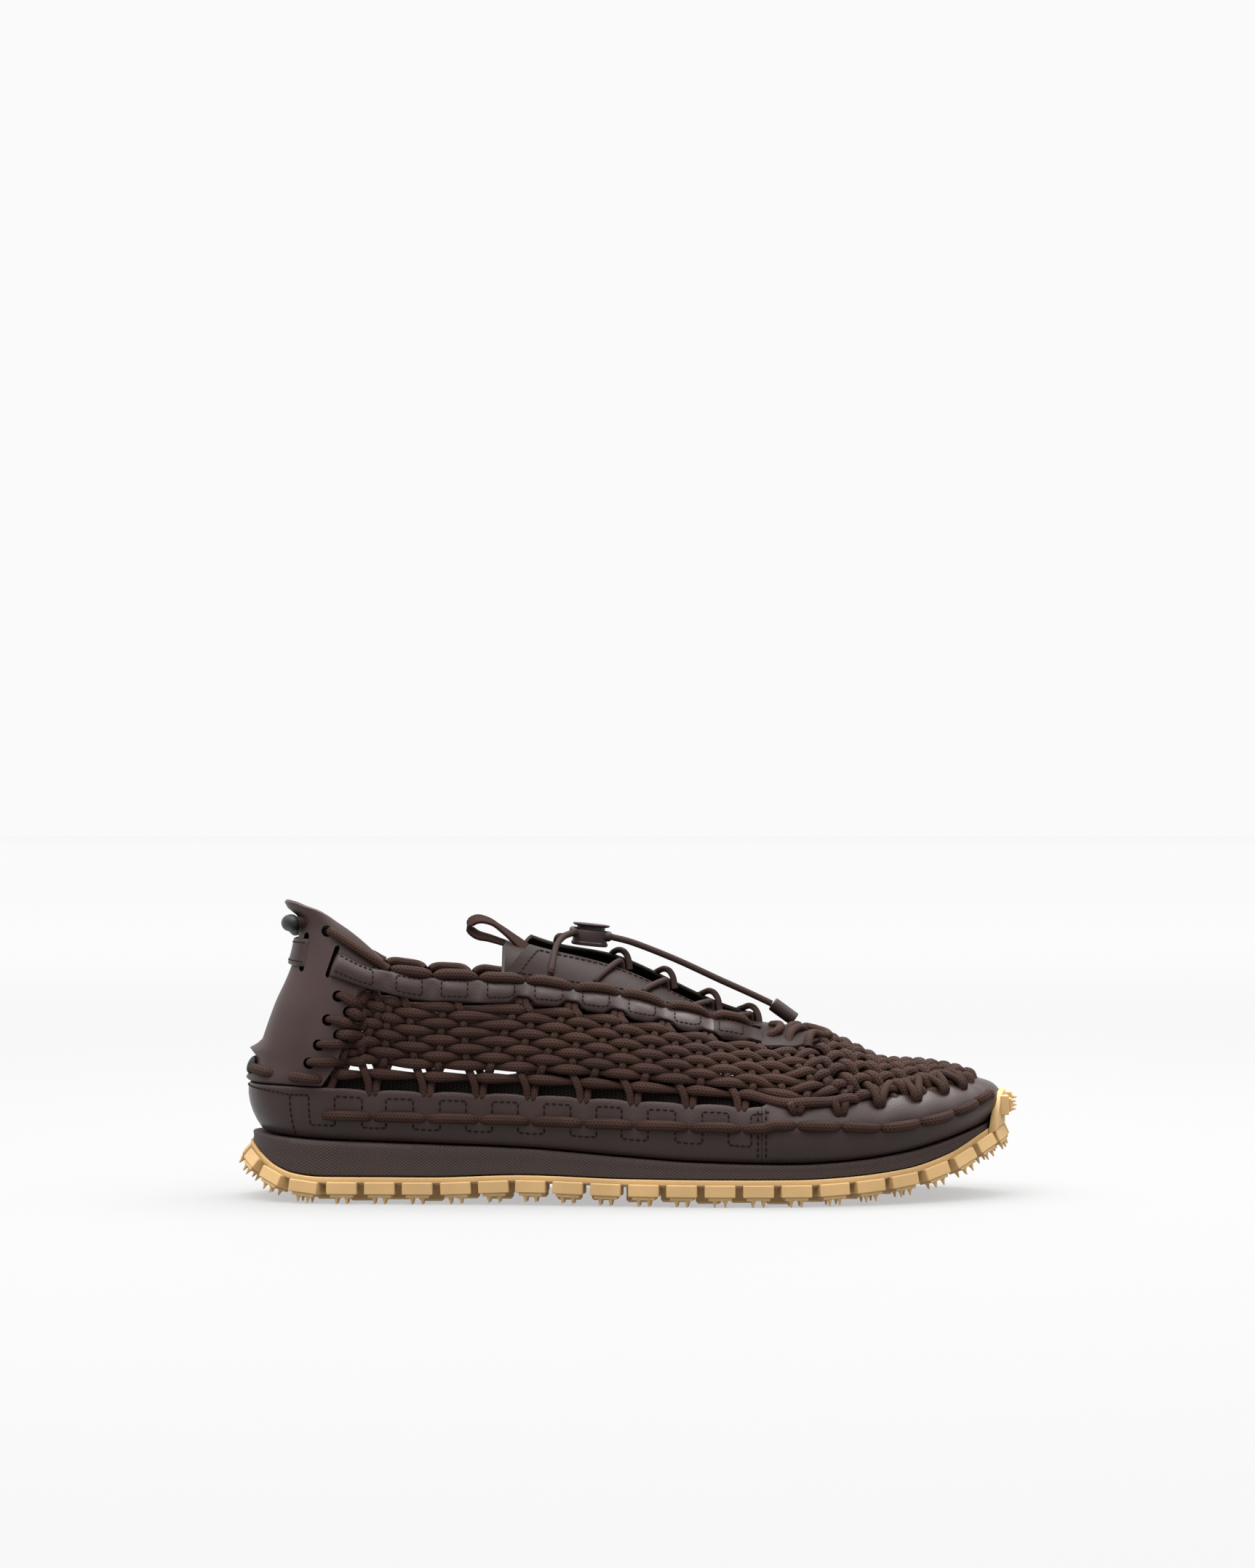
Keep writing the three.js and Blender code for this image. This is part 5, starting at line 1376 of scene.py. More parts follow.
class SNEAKER_OT_band(bpy.types.Operator):
    """Collar band, apron and eyestays with their stitching"""

    bl_idname = "sneaker.band"
    bl_label = "Band and eyestays"

    def execute(self, context):
        band, stitches = Shape(), Shape()
        for side in SIDES:
            columns = [(x, side) for x in runs_between(BAND["rear"], BAND["front"], 1.1)]
            band.panel(columns, band_spot, LEATHER, levels=8)
            band_boxes(stitches, side)

        def apron_spot(x, share, offset):
            across = share * 2 - 1
            s = side_station(x, INNER if across > 0 else OUTER)
            reach = max(apron_half(x), APRON_LEATHER["least"]) + APRON_LEATHER["over"]
            lift = APRON_LEATHER["lift"] - 1 + ease(*APRON_LEATHER["out_x"], x)
            return s.at(s.arc_at_reach(abs(across) * reach), SEAT_GAP + lift + offset)

        columns = runs_between(APRON_LEATHER["rear"], APRON_LEATHER["front"], 1.5)
        band.panel(columns, apron_spot, LEATHER, levels=20, edge=0.03)
        # The front of the band and the apron take the darker copy of the leather: painted shade.
        band.looks = [int(band.points[face[0]][0] > COLLAR_X[-2]) for face in band.faces]
        band.made("collar_band_leather", "leather throat", "leather", "collar_band")
        for side, name in NAMED_SIDES:
            shape = Shape()
            columns = [(t, side) for t in np.linspace(0, 1, 60)]
            shape.panel(columns, eyestay_spot, LEATHER, levels=10, rim_look=1, edge=0.05)
            # The eyestays take the darker copy of the leather: painted shade.
            shape.made(f"eyestay_{name}_leather", "throat dark_edge", "leather", f"eyestay_{name}")

            def place(t, share):
                normal = side_station(lerp(107, 199, t), side).out(70.0)
                return eyestay_spot((t, side), share, LEATHER + STITCH_LIFT), normal

            for start, end, count in EYESTAY_STITCHES:
                stitched(stitches, place, np.linspace(start, end, count))
        stitches.made("band_stitching", "thread", "leather")
        return {"FINISHED"}


# Heel

COUNTER_FRONT = {"share": (0, 0.12, 0.35, 0.7, 1), "x": (34.4, 39, 44, 48.5, 57)}
COLLAR_HOLE_Z = 101.6
COUNTER_HOLES = ((40.3, 77.5), (44.3, 71.6), (36.4, 68.6), (40.7, 63), (33, 59.2), (29.4, 52.4),
                 (35.6, COLLAR_HOLE_Z))
HOLE_RADIUS = 2.2
CUT_DEPTHS = (2, 60)
SLOTS = ({"x": 26.6, "z": 93.6, "length": 15, "width": 2.0, "lean": 8},
         {"x": 38, "z": 90.4, "length": 13, "width": 1.9, "lean": 19})

counter_front = smooth_curve(COUNTER_FRONT, "x", "share")


def counter_spot(column, share, offset, inset=0.0, near=COUNTER_GAP):
    """Place on the counter, by side and share of the way from the heel's back to its slanted front edge."""
    side, part = column
    walk = WALKS[side]
    run = part * (walk.run_at(counter_front(share)) - inset)
    s = walk.station(run)
    z = lerp(rand_top(s.x) + 0.7, counter_edge(s.x, side) - inset, share)
    swell = 0.0 if inset else hump(run, 14) * (3.9 * hump(z - 55, 2.0) + 1.4 * hump(z - 45, 1.6))
    return s.at(s.arc_at_height(z), near + offset + swell)


def counter_columns():
    parts = np.linspace(0, 1, 32)
    return [*((OUTER, part) for part in parts[:0:-1]), *((INNER, part) for part in parts)]


class SNEAKER_OT_counter(bpy.types.Operator):
    """Moulded heel counter with its lip, cord holes and slots"""

    bl_idname = "sneaker.counter"
    bl_label = "Heel counter"

    def execute(self, context):
        shape = Shape()
        shape.panel(counter_columns(), counter_spot, COUNTER, levels=30, inner_levels=16, edge=0.025)
        counter = shape.made("heel_counter_shell", "counter", "counter_plastic", "heel_counter")
        cutter = Shape()
        near, far = CUT_DEPTHS
        for side in SIDES:
            for x, z in COUNTER_HOLES:
                if side == INNER and z == COLLAR_HOLE_Z:
                    z -= INNER_COUNTER_DROP
                cutter.tube([(x, side * near, z), (x, side * far, z)], HOLE_RADIUS, sides=16)
            for slot in SLOTS:
                middle = (slot["x"], side * (near + far) / 2, slot["z"])
                cutter.box(middle, leaning(slot["lean"]), (slot["width"], far - near, slot["length"]), 0.9)
        cutter.cut_from(counter)
        return {"FINISHED"}


LINING = {"thick": 0.7, "inside": 2.9, "low": 0.5, "top": 0.985, "toe_x": (212, 228)}
HEEL_LINING = {"thick": 1.5, "inset": 2.8, "near": -1.6}


class SNEAKER_OT_lining(bpy.types.Operator):
    """Mesh lining inside the rand, the toe and the heel"""

    bl_idname = "sneaker.lining"
    bl_label = "Lining"

    def execute(self, context):
        shape = Shape()
        ring = [(walk.side, run) for walk, run in full_ring(3.0)]

        def low_spot(spot, share, offset):
            s = WALKS[spot[0]].station(spot[1])
            side_top = net_arc(s, row_share(0, spot[0], s.x))
            top = lerp(side_top, s.length * LINING["top"], ease(*LINING["toe_x"], s.x))
            return s.at(lerp(LINING["low"], top, share), offset - LINING["inside"])

        def heel_spot(column, share, offset):
            return counter_spot(column, share, offset, HEEL_LINING["inset"], HEEL_LINING["near"])

        shape.panel(ring, low_spot, LINING["thick"], levels=12, inner_levels=8, closed=True)
        shape.panel(counter_columns(), heel_spot, HEEL_LINING["thick"], levels=14, inner_levels=10)
        shape.made("mesh_lining", "lining", "braided_cord")
        return {"FINISHED"}


# Weave

WEAVE = {"row_over": 1.45, "row_under": -1.25, "leg_over": 0.9, "leg_under": -1.5}
ROW_STARTS = {row: COUNTER_HOLES[hole] for row, hole in ((1, 5), (3, 4), (4, 3), (5, 2), (6, 1), (7, 0))}
ROW_FRONT_X = (235.6, 230, 228, 227, 226, 225, 224, 223, 222)
ROW_REAR_X = ((38, 43), (44, 48))
ROW_OUT = 0.7
ROW_CREST = {"rise": (195.5, 209.5), "fall": (233.2, 235.6), "lift": 2.6}
HEEL_LEG_X = 52.5
REAR_LEG_X = (36.5, 38.5, 42.5, 47.6, 49, 49.3)


class Leg:
    """One upright cord of the side, from a notch of the rand to a notch of the band."""

    SHARES = (-0.08, 0.06, 0.3, 0.86, 1.0, 1.1)

    def __init__(self, side, number, runs):
        self.side = side
        self.number = number
        self.x = WALKS[side].station(runs[2]).x
        self.on_toe = runs[0] > WALKS[side].run_at(RAND_SPLIT_X + 4)
        self.run_at = smooth_curve({"share": self.SHARES, "run": runs}, "run", "share")

    def over(self, row):
        return (row + self.number) % 2 == 0


def make_legs(side):
    walk = WALKS[side]
    feet = [walk.run_at(x) for x in NOTCH_X]
    tops = [walk.run_at(x) for x in BAND_NOTCH_X]
    tops.append(tops[-1] + 15)
    slants = [(feet[0], walk.run_at(HEEL_LEG_X), -1)]
    for k, top in enumerate(tops):
        slants += [(feet[k], top, 1), (feet[k + 1], top, -1)]
    slants.append((feet[-1], feet[-1] + 6, 1))
    legs = [Leg(side, -1, [walk.run_at(x) for x in REAR_LEG_X])]
    for number, (foot, top, lean) in enumerate(slants):
        spread = (1.0, 3.0, 5.6) if foot > walk.run_at(RAND_SPLIT_X + 4) else (1.2, 1.5, 4.4)
        shifts = [*(foot + part * lean for part in spread), *(top - part * lean for part in (3.6, 1.3, 1.2))]
        legs.append(Leg(side, number, shifts))
    return legs


def swing(marks, value):
    """Wave through heights at given places, level at each of them."""
    if value <= marks[0][0]:
        return marks[0][1]
    for (a, low), (b, high) in zip(marks, marks[1:]):
        if value <= b:
            return lerp(low, high, 0.5 - 0.5 * math.cos(math.pi * (value - a) / (b - a)))
    return marks[-1][1]


def weave_rows(shape, side, legs, width):
    walk = WALKS[side]
    for row in range(ROWS):
        marks = sorted((leg.run_at(row_share(row, side, leg.x)),
                        WEAVE["row_under" if leg.over(row) else "row_over"]) for leg in legs)
        end = walk.run_at(ROW_FRONT_X[row])
        marks = [*(mark for mark in marks if mark[0] < end - 3), (end, -2.6)]
        start_x, start_z = ROW_STARTS.get(row, (0, 0))
        begin_x, net_x = ROW_REAR_X[min(row, 1)]
        if start_z:
            begin_x, net_x = start_x - ROW_OUT, counter_front(clamp((start_z - 43) / 62)) + 5
        begin, net_start = walk.run_at(begin_x), walk.run_at(net_x)
        spots, radii, flats = [], [], []
        for run in runs_between(begin, end, 1.1):
            s = walk.station(run)
            share = row_share(row, side, s.x)
            arc = net_arc(s, share) if s.x > 50 else s.arc_at_height(net_height(side, share))
            lift = swing(marks, run)
            if row == 0:
                crest = ease(*ROW_CREST["rise"], s.x) * (1 - ease(*ROW_CREST["fall"], s.x))
                lift = lerp(lift, 0.5 * lift + ROW_CREST["lift"], crest)
            fat = clamp((lift - WEAVE["row_under"]) / (WEAVE["row_over"] - WEAVE["row_under"]))
            rear = ease(begin, net_start, run)
            if rear < 1 and start_z:
                arc = lerp(s.arc_at_height(start_z), arc, rear)
                out = lerp(-1.0, COUNTER_FACE + width * 0.42, ease(0, 2.0, run - begin))
                lift = lerp(out, lift, ease(0.55, 1.0, rear))
                fat = max(fat, math.sin(math.pi * rear))
            elif rear < 1:
                lift = lerp(-1.5, lift, rear)
            spots.append((s, arc, lift))
            radii.append(0.5 * width * lerp(0.66, 1.06, fat**0.8))
            flats.append(lerp(0.95, 0.74, fat))
        shape.cord(spots, radii, flat=flats, sides=10)


def net_height(side, share):
    """Height of a row where the net begins."""
    s = WALKS[side].station(WALKS[side].run_at(60))
    return s.find(net_arc(s, share))[0][1]


def weave_legs(shape, legs, width):
    for leg in legs:
        marks = [(row_share(row, leg.side, leg.x), WEAVE["leg_over" if leg.over(row) else "leg_under"])
                 for row in range(ROWS)]
        foot = [(-0.10, 0.4), (-0.07, 2.5), (-0.01, 3.3)] if leg.on_toe else [(-0.09, -0.4), (-0.03, 0.4)]
        marks = [*foot, *marks, (1.0, 0.0), (1.1, -1.0)]
        spots = []
        for share in np.linspace(foot[0][0], 1.08, 64):
            s = WALKS[leg.side].station(leg.run_at(share))
            spots.append((s, net_arc(s, share), swing(marks, share)))
        shape.cord(spots, 0.40 * width, flat=0.85, sides=8)


def vamp_station(u, v):
    """Station and arc of a place on the vamp laid flat: u forward along the ridge, v across it."""
    side = INNER if v >= 0 else OUTER
    if u <= TOE_X:
        s = side_station(round(u, 1), side)
        return s, s.length - abs(v)
    s = toe_station(round(math.degrees(math.atan2(v, u - TOE_X)) * 2) / 2)
    return s, s.length - math.hypot(u - TOE_X, v)


TOE_WEAVE = {
    "slope": 0.9, "first": 179, "count": 17, "rear": 213, "spread": 0.2, "dive": 6.0, "half": 52,
    "widest": 60, "step": 0.75, "below": 2.5,
}


def toe_line(family, number, step, width):
    """One cord of the toe weave: spots with their half widths and flatness."""
    slope, first = TOE_WEAVE["slope"], TOE_WEAVE["first"]
    centre = first + step * number
    line = []
    for u in np.arange(centre - TOE_WEAVE["half"], centre + TOE_WEAVE["half"], TOE_WEAVE["step"]):
        v = family * slope * (u - centre)
        margin = u - TOE_WEAVE["rear"] - TOE_WEAVE["spread"] * abs(v)
        if margin < 0 or abs(v) > TOE_WEAVE["widest"]:
            continue
        s, arc = vamp_station(float(u), float(v))
        above = arc - s.rand_arc()
        if above < -TOE_WEAVE["below"]:
            if line:
                break
            continue
        over = family * math.cos(math.pi * ((2 * u - centre - first) / step + number))
        lift = lerp(-1.2, 0.3 + 1.65 * over, ease(-TOE_WEAVE["below"], 2, above))
        lift -= 2.6 * (1 - ease(0, TOE_WEAVE["dive"], margin))
        fat = 0.5 + 0.5 * over
        line.append(((s, arc, lift), 0.5 * width * lerp(0.84, 1.16, fat), lerp(0.95, 0.8, fat)))
    return line


TOE_FOOT = ((-3.4, 0.8, 0.2), (-2.6, 0.9, 2.2), (-0.4, 1.4, 2.9), (2.2, 2.5, 2.8), (4.8, 3.8, 2.5),
            (7.2, 5.0, 1.5), (9.0, 5.8, -1.2))


def toe_feet(shape, width):
    """Pairs of cords from the weave into holes in the toe rand, by height above its edge, shift and lift."""
    for side in SIDES:
        walk = WALKS[side]
        for x in TOE_NOTCH_X[:4]:
            for way in (-1, 1):
                spots = []
                for above, across, lift in rounded(TOE_FOOT, 0.7):
                    s = walk.station(min(walk.run_at(x) + way * across, walk.length))
                    spots.append((s, s.rand_arc() + above, lift))
                shape.cord(spots, 0.43 * width, flat=0.9, sides=10)


def toe_weave(shape, width, pitch):
    """Basket weave over the toe: two sets of cords that cross on the slant."""
    step = pitch * math.hypot(1, TOE_WEAVE["slope"]) / TOE_WEAVE["slope"]
    for family in (1, -1):
        for number in range(TOE_WEAVE["count"]):
            line = toe_line(family, number, step, width)
            if len(line) > 8:
                spots, radii, flats = zip(*line)
                shape.cord(spots, radii, flat=flats, sides=10)
    toe_feet(shape, width)


APRON_CORDS = (
    ((216.6, -24, 0.2), (217, -21, 2.4), (217.6, -17, 2.9), (219.6, -13, 2.9), (223.4, -12.6, 2.7),
     (225, -8.5, 2.7), (223, -3.5, 2.7), (219.6, -0.5, 2.6), (216.5, 2.5, 2.2), (214.5, 5, -0.5)),
    ((214.8, 4, 1.2), (213.2, -3, 2.6), (210.4, -9.5, 2.4), (208.2, -13, -0.6)),
    ((212.0, 20, -0.4), (214.5, 16, 2.4), (218.4, 12, 2.8), (221.0, 6, 2.6), (222.8, 2, -0.2)),
    ((216, -2, 0.6), (214, -8, 2.6), (211.4, -14, 2.6), (209.8, -19, 2.0), (209, -23, -0.8)),
    ((203.4, -8, 0.6), (206.2, -12, 2.8), (206, -17, 2.6), (203.6, -19.5, 1.0), (202, -20, -1.2)),
)


def apron_cords(shape, width):
    """Loose ends of cord over the apron: length x, distance v across and height above the last."""
    for cord in APRON_CORDS:
        spots = []
        for x, v, lift in rounded(cord, 0.8):
            s = side_station(x, INNER if v >= 0 else OUTER)
            spots.append((s, s.arc_at_reach(abs(v)), 0.75 * lift + LEATHER))
        shape.cord(spots, 0.44 * width, flat=0.95, sides=12)


class SNEAKER_OT_weave(bpy.types.Operator):
    """Woven cord upper: rows along the sides, upright cords and the weave over the toe"""

    bl_idname = "sneaker.weave"
    bl_label = "Weave"

    def execute(self, context):
        sizes = context.scene.sneaker_sizes
        width = sizes.cord / MM
        rows, legs = Shape(), Shape()
        for side in SIDES:
            uprights = make_legs(side)
            weave_rows(rows, side, uprights, width)
            weave_legs(legs, uprights, width)
        toe_weave(legs, width, sizes.toe_pitch / MM)
        apron_cords(legs, width)
        rows.made("weave_rows", "cord", "braided_cord", "upper")
        legs.made("weave_uprights", "cord", "braided_cord")
        return {"FINISHED"}


# Cords that run through holes

HEEL_CORD = {"z": 48.6, "fall": 0.03, "grip": 14, "ends": ((12, 46), (59, 81))}
COLLAR_X = (58.9, 75.6, 92.7, 110.4, 128.4, 145.8, 163, 180, 195.7)
INNER_COLLAR_SHIFT = 4.5


def arched(shape, spot, start, end, width, lift, flat=0.8, sink=1.4):
    """One visible stretch of a running cord: out of a hole, along the surface and into the next hole."""
    path, hints, radii = [], [], []
    for t in np.linspace(0, 1, 22):
        rise = 1 - abs(2 * t - 1) ** 4
        place, normal = spot(lerp(start, end, t))
        path.append(place + normal * lerp(-sink, lift, rise))
        hints.append(normal)
        radii.append(0.5 * width * lerp(0.62, 1.0, rise**0.6))
    shape.tube(path, radii, hint=hints, flat=flat, sides=12)


class SNEAKER_OT_running_cords(bpy.types.Operator):
    """Cords that run in stitches along the rand, the collar and the heel"""

    bl_idname = "sneaker.running_cords"
    bl_label = "Running cords"

    def execute(self, context):
        width = context.scene.sneaker_sizes.cord / MM
        for side, name in NAMED_SIDES:
            cords = {"rand": self.rand_cord, "collar": self.collar_cord, "heel": self.heel_cord}
            for run, cord in cords.items():
                shape = Shape()
                cord(shape, side, width)
                shape.made(f"{run}_cord_{name}_braid", "cord", "braided_cord", f"{run}_cord_{name}")
        return {"FINISHED"}

    def rand_cord(self, shape, side, width):
        walk = WALKS[side]
        marks = [walk.run_at(x) for x in (34.3, *NOTCH_X, *TOE_NOTCH_X)]

        def spot(run):
            s = walk.station(run)
            share = s.arc_at_height(rand_cord_height(s.x)) / s.rand_arc()
            return rand_spot((side, run), share, LEATHER), s.out(share * s.rand_arc())

        for a, b in zip(marks, marks[1:]):
            arched(shape, spot, a + 0.4, b - 0.4, 1.08 * width, 0.4 * width)

    def collar_cord(self, shape, side, width):
        def spot(x):
            s = side_station(x, side)
            on_seam = ease(92, 100, x)
            arc = s.arc_at_height(band_top(x)) + (1 - on_seam) * 0.8
            return s.at(arc, lerp(1.0, SEAT_GAP + LEATHER, on_seam)), s.out(arc + (1 - on_seam) * 14)

        marks = [x - (INNER_COLLAR_SHIFT if side == INNER else 0) for x in COLLAR_X]
        for a, b in zip(marks, marks[1:]):
            arched(shape, spot, a + 0.8, b - 0.8, 1.08 * width, 0.52 * width, flat=0.9, sink=1.2)
        hole_z = COLLAR_HOLE_Z - (INNER_COUNTER_DROP if side == INNER else 0)
        lead = []
        for t in np.linspace(0, 1, 24):
            s = WALKS[side].station(WALKS[side].run_at(lerp(35, marks[0], t)))
            z = lerp(hole_z, band_top(marks[0]) + 0.6, t)
            lift = lerp(-1.0, COUNTER_FACE + 0.4 * width, ease(0, 0.09, t)) - 2.0 * ease(0.75, 1, t)
            lead.append(s.at(s.arc_at_height(z), lift))
        shape.tube(lead, 0.45 * width, sides=12)

    def heel_cord(self, shape, side, width):
        def spot(angle):
            s = heel_station(angle * side)
            arc = s.arc_at_height(HEEL_CORD["z"] - HEEL_CORD["fall"] * abs(angle))
            return s.at(arc, COUNTER_FACE), s.out(arc)

        for start, end in HEEL_CORD["ends"]:
            arched(shape, spot, start, end, width, 0.36 * width, sink=1.6)


STRAP = {"z": 92.6, "width": 11.0, "thick": 1.3, "bow": 0.2, "turn": 62, "sunk": 2.6}
SLEEVE = {"z": 106.9, "radius": 3.2, "off": 4.2, "turn": 40, "reach": {OUTER: 1.0, INNER: 0.8}}


class SNEAKER_OT_heel_trim(bpy.types.Operator):
    """Leather strap, rubber sleeve and rubber grip at the back of the heel"""

    bl_idname = "sneaker.heel_trim"
    bl_label = "Heel trim"

    def execute(self, context):
        self.strap()
        self.sleeve()
        grip = Shape()
        spots = []
        for angle in np.linspace(-HEEL_CORD["grip"], HEEL_CORD["grip"], 25):
            s = heel_station(angle)
            spots.append((s, s.arc_at_height(HEEL_CORD["z"]), COUNTER_FACE + SEAT_GAP + 1.0))
        grip.cord(spots, 3.2, flat=0.42, sides=16, domed=True)
        grip.made("heel_grip_rubber", "grip", "sleeve_rubber", "heel_grip")
        return {"FINISHED"}

    def strap(self):
        strap, stitches = Shape(), Shape()

        def spot(t, share, offset):
            s = heel_station(t * STRAP["turn"])
            arc = s.arc_at_height(STRAP["z"]) + (share - 0.5) * STRAP["width"]
            lift = STRAP["bow"] * (1 - t * t) - STRAP["sunk"] * abs(t) ** 12
            return s.at(arc, COUNTER_FACE + SEAT_GAP + lift + offset)

        def place(t, share):
            return spot(t, share, STRAP["thick"] + STITCH_LIFT), heel_station(t * STRAP["turn"]).out(60.0)

        strap.panel(np.linspace(-1, 1, 41), spot, STRAP["thick"], levels=8)
        strap.made("heel_strap_leather", "leather", "leather", "heel_strap")
        for share in (0.16, 0.84):
            line = np.linspace((-0.92, share), (0.92, share), 30)
            stitched(stitches, place, line, pitch=1.9, length=1.4, radius=0.25)
        stitches.made("strap_stitching", "thread", "leather")

    def sleeve(self):
        def spot(t, drop=0.0, sink=0.0):
            s = heel_station(t * SLEEVE["turn"])
            lower = 0.5 * (counter_top(s.x) - counter_edge(s.x, INNER if t > 0 else OUTER))
            return s.at(s.arc_at_height(SLEEVE["z"] - lower - drop), COUNTER_FACE + SLEEVE["off"] - sink)

        sleeve = Shape()
        reach = SLEEVE["reach"]
        path = [spot(t) for t in np.linspace(-reach[OUTER], reach[INNER], 41)]
        slim = [0.2 * abs(t) ** 8 + 0.14 * hump(abs(t) - 0.55, 0.07) for t in np.linspace(-1, 1, 41)]
        sleeve.tube(path, SLEEVE["radius"] * (1 - np.array(slim)), sides=18, domed=True)
        for side in SIDES:
            starts = np.linspace(0, 0.42, 10)
            ends = [spot((reach[side] - 0.1 + t) * side, 0.4 + 4 * t, 13 * t) for t in starts]
            sleeve.tube(ends, 1.8, sides=12, look=1)
        sleeve.made("heel_sleeve_rubber", "rubber cord", "sleeve_rubber", "heel_sleeve")


# Tongue and lace

TONGUE = {"rear": 101, "front": 206, "half": 23, "drop": 3.8, "thick": 2.4}
LOOP_PATH = ((115, 90.2), (110.5, 93.8), (106, 97.4), (101, 101.4), (96, 104.6), (91, 105.4), (88, 102.8),
             (91, 99.6), (96, 98.2), (101, 96.6), (105, 95.2))
LOOP_TWIST = (36, 36, 30, 18, 10, 18, 32, 26, 18, 14, 12)
LOOP_RIM = ((-3.4, 0.2), (-3.2, 0.55), (-1.5, 0.6), (0, 0.56), (1.5, 0.6), (3.2, 0.55), (3.4, 0.2),
            (3.4, -0.2), (3.2, -0.55), (0, -0.6), (-3.2, -0.55), (-3.4, -0.2))
LOCK = {"x": 134.5, "z": 99.6, "lean": 6}
LOCK_PROFILE = (
    (0, -4.3), (6.4, -4.3), (7.0, -3.9), (7.0, -3.1), (6.6, -2.7), (6.5, 1.0), (6.2, 1.6), (5.4, 1.7),
    (5.4, 3.0), (6.6, 3.2), (7.1, 3.7), (7.0, 4.05), (5.8, 4.2), (0, 4.3),
)
LOCK_PORT = {
    "aside": 1.7, "high": 0.2, "fall": 0.25, "ends": (5.0, 7.2, 7.6, 8.1), "radii": (1.95, 1.95, 1.8, 1.3),
}
TAIL = ((142.4, 98.7), (151.3, 96.3), (167.2, 90), (183.2, 82.6), (195.2, 77.2), (203.6, 73.2))
TAIL_SPREAD = 1.45
END_PIECE_FALL = 36
END_PIECE_PROFILE = (
    (0, -5.2), (2.35, -5.2), (2.7, -4.8), (2.7, 3.1), (2.55, 3.3), (2.7, 3.5), (2.7, 4.85), (2.4, 5.2),
    (1.9, 5.1), (1.7, 4.3), (0, 4.3),
)


class SNEAKER_OT_tongue(bpy.types.Operator):
    """Leather tongue with a pale cut edge and a webbing pull loop"""

    bl_idname = "sneaker.tongue"
    bl_label = "Tongue"

    def execute(self, context):
        shape = Shape()

        def spot(x, share, offset):
            across = share * 2 - 1
            x += 0.5 * offset * (1 - ease(TONGUE["rear"], TONGUE["rear"] + 2, x))
            s = side_station(x, INNER if across > 0 else OUTER)
            sunk = TONGUE["drop"] + TONGUE["thick"] + 2.4 * (1 - ease(104, 132, x))
            return s.at(s.arc_at_reach(abs(across) * TONGUE["half"]), offset - sunk)

        columns = runs_between(TONGUE["rear"], TONGUE["front"], 2.5)
        shape.panel(columns, spot, TONGUE["thick"], levels=16, edge=0.03, rim_look=1)
        shape.looks[-1] = shape.looks[-2] = 1
        # The tongue takes the darker copy of the leather: painted shade.
        shape.made("tongue_leather", "throat pale_edge", "leather", "tongue")

        loop = Shape()
        path = rounded([(x, centre_y(x), z) for x, z in LOOP_PATH], 1.0)
        along = unit(np.gradient(path, axis=0))
        shares = np.linspace(0, 1, len(path))
        tilt = np.radians(np.interp(shares, np.linspace(0, 1, len(LOOP_TWIST)), LOOP_TWIST))
        side = np.stack([np.zeros_like(tilt), np.cos(tilt), np.sin(tilt)], 1)
        side = unit(side - along * (along * side).sum(1)[:, None])
        up = np.cross(along, side)
        grid = [[p + w * a + n * b for a, b in LOOP_RIM] for p, w, n in zip(path, side, up)]
        loop.rows(grid, wrap=True, caps=True)
        loop.made("tongue_loop_webbing", "webbing", "webbing", "tongue_loop")
        return {"FINISHED"}


def lace_spot(x, side, share, lift):
    """Place above an eyestay, by its share of the way from the band up to its edge at the lace opening."""
    return eyestay_spot((eyestay_share(x, share), side), share, LEATHER + lift)


LACE_BEND = {OUTER: np.array(((1.3, 1.6, 0.3), (1.9, 2.9, -1.6), (2.0, 3.6, -5.5))),
             INNER: np.array(((2.2, 2.6, 0.9), (4.2, 5.0, 0.1), (5.6, 7.0, -2.4), (6.2, 8.2, -6.5)))}


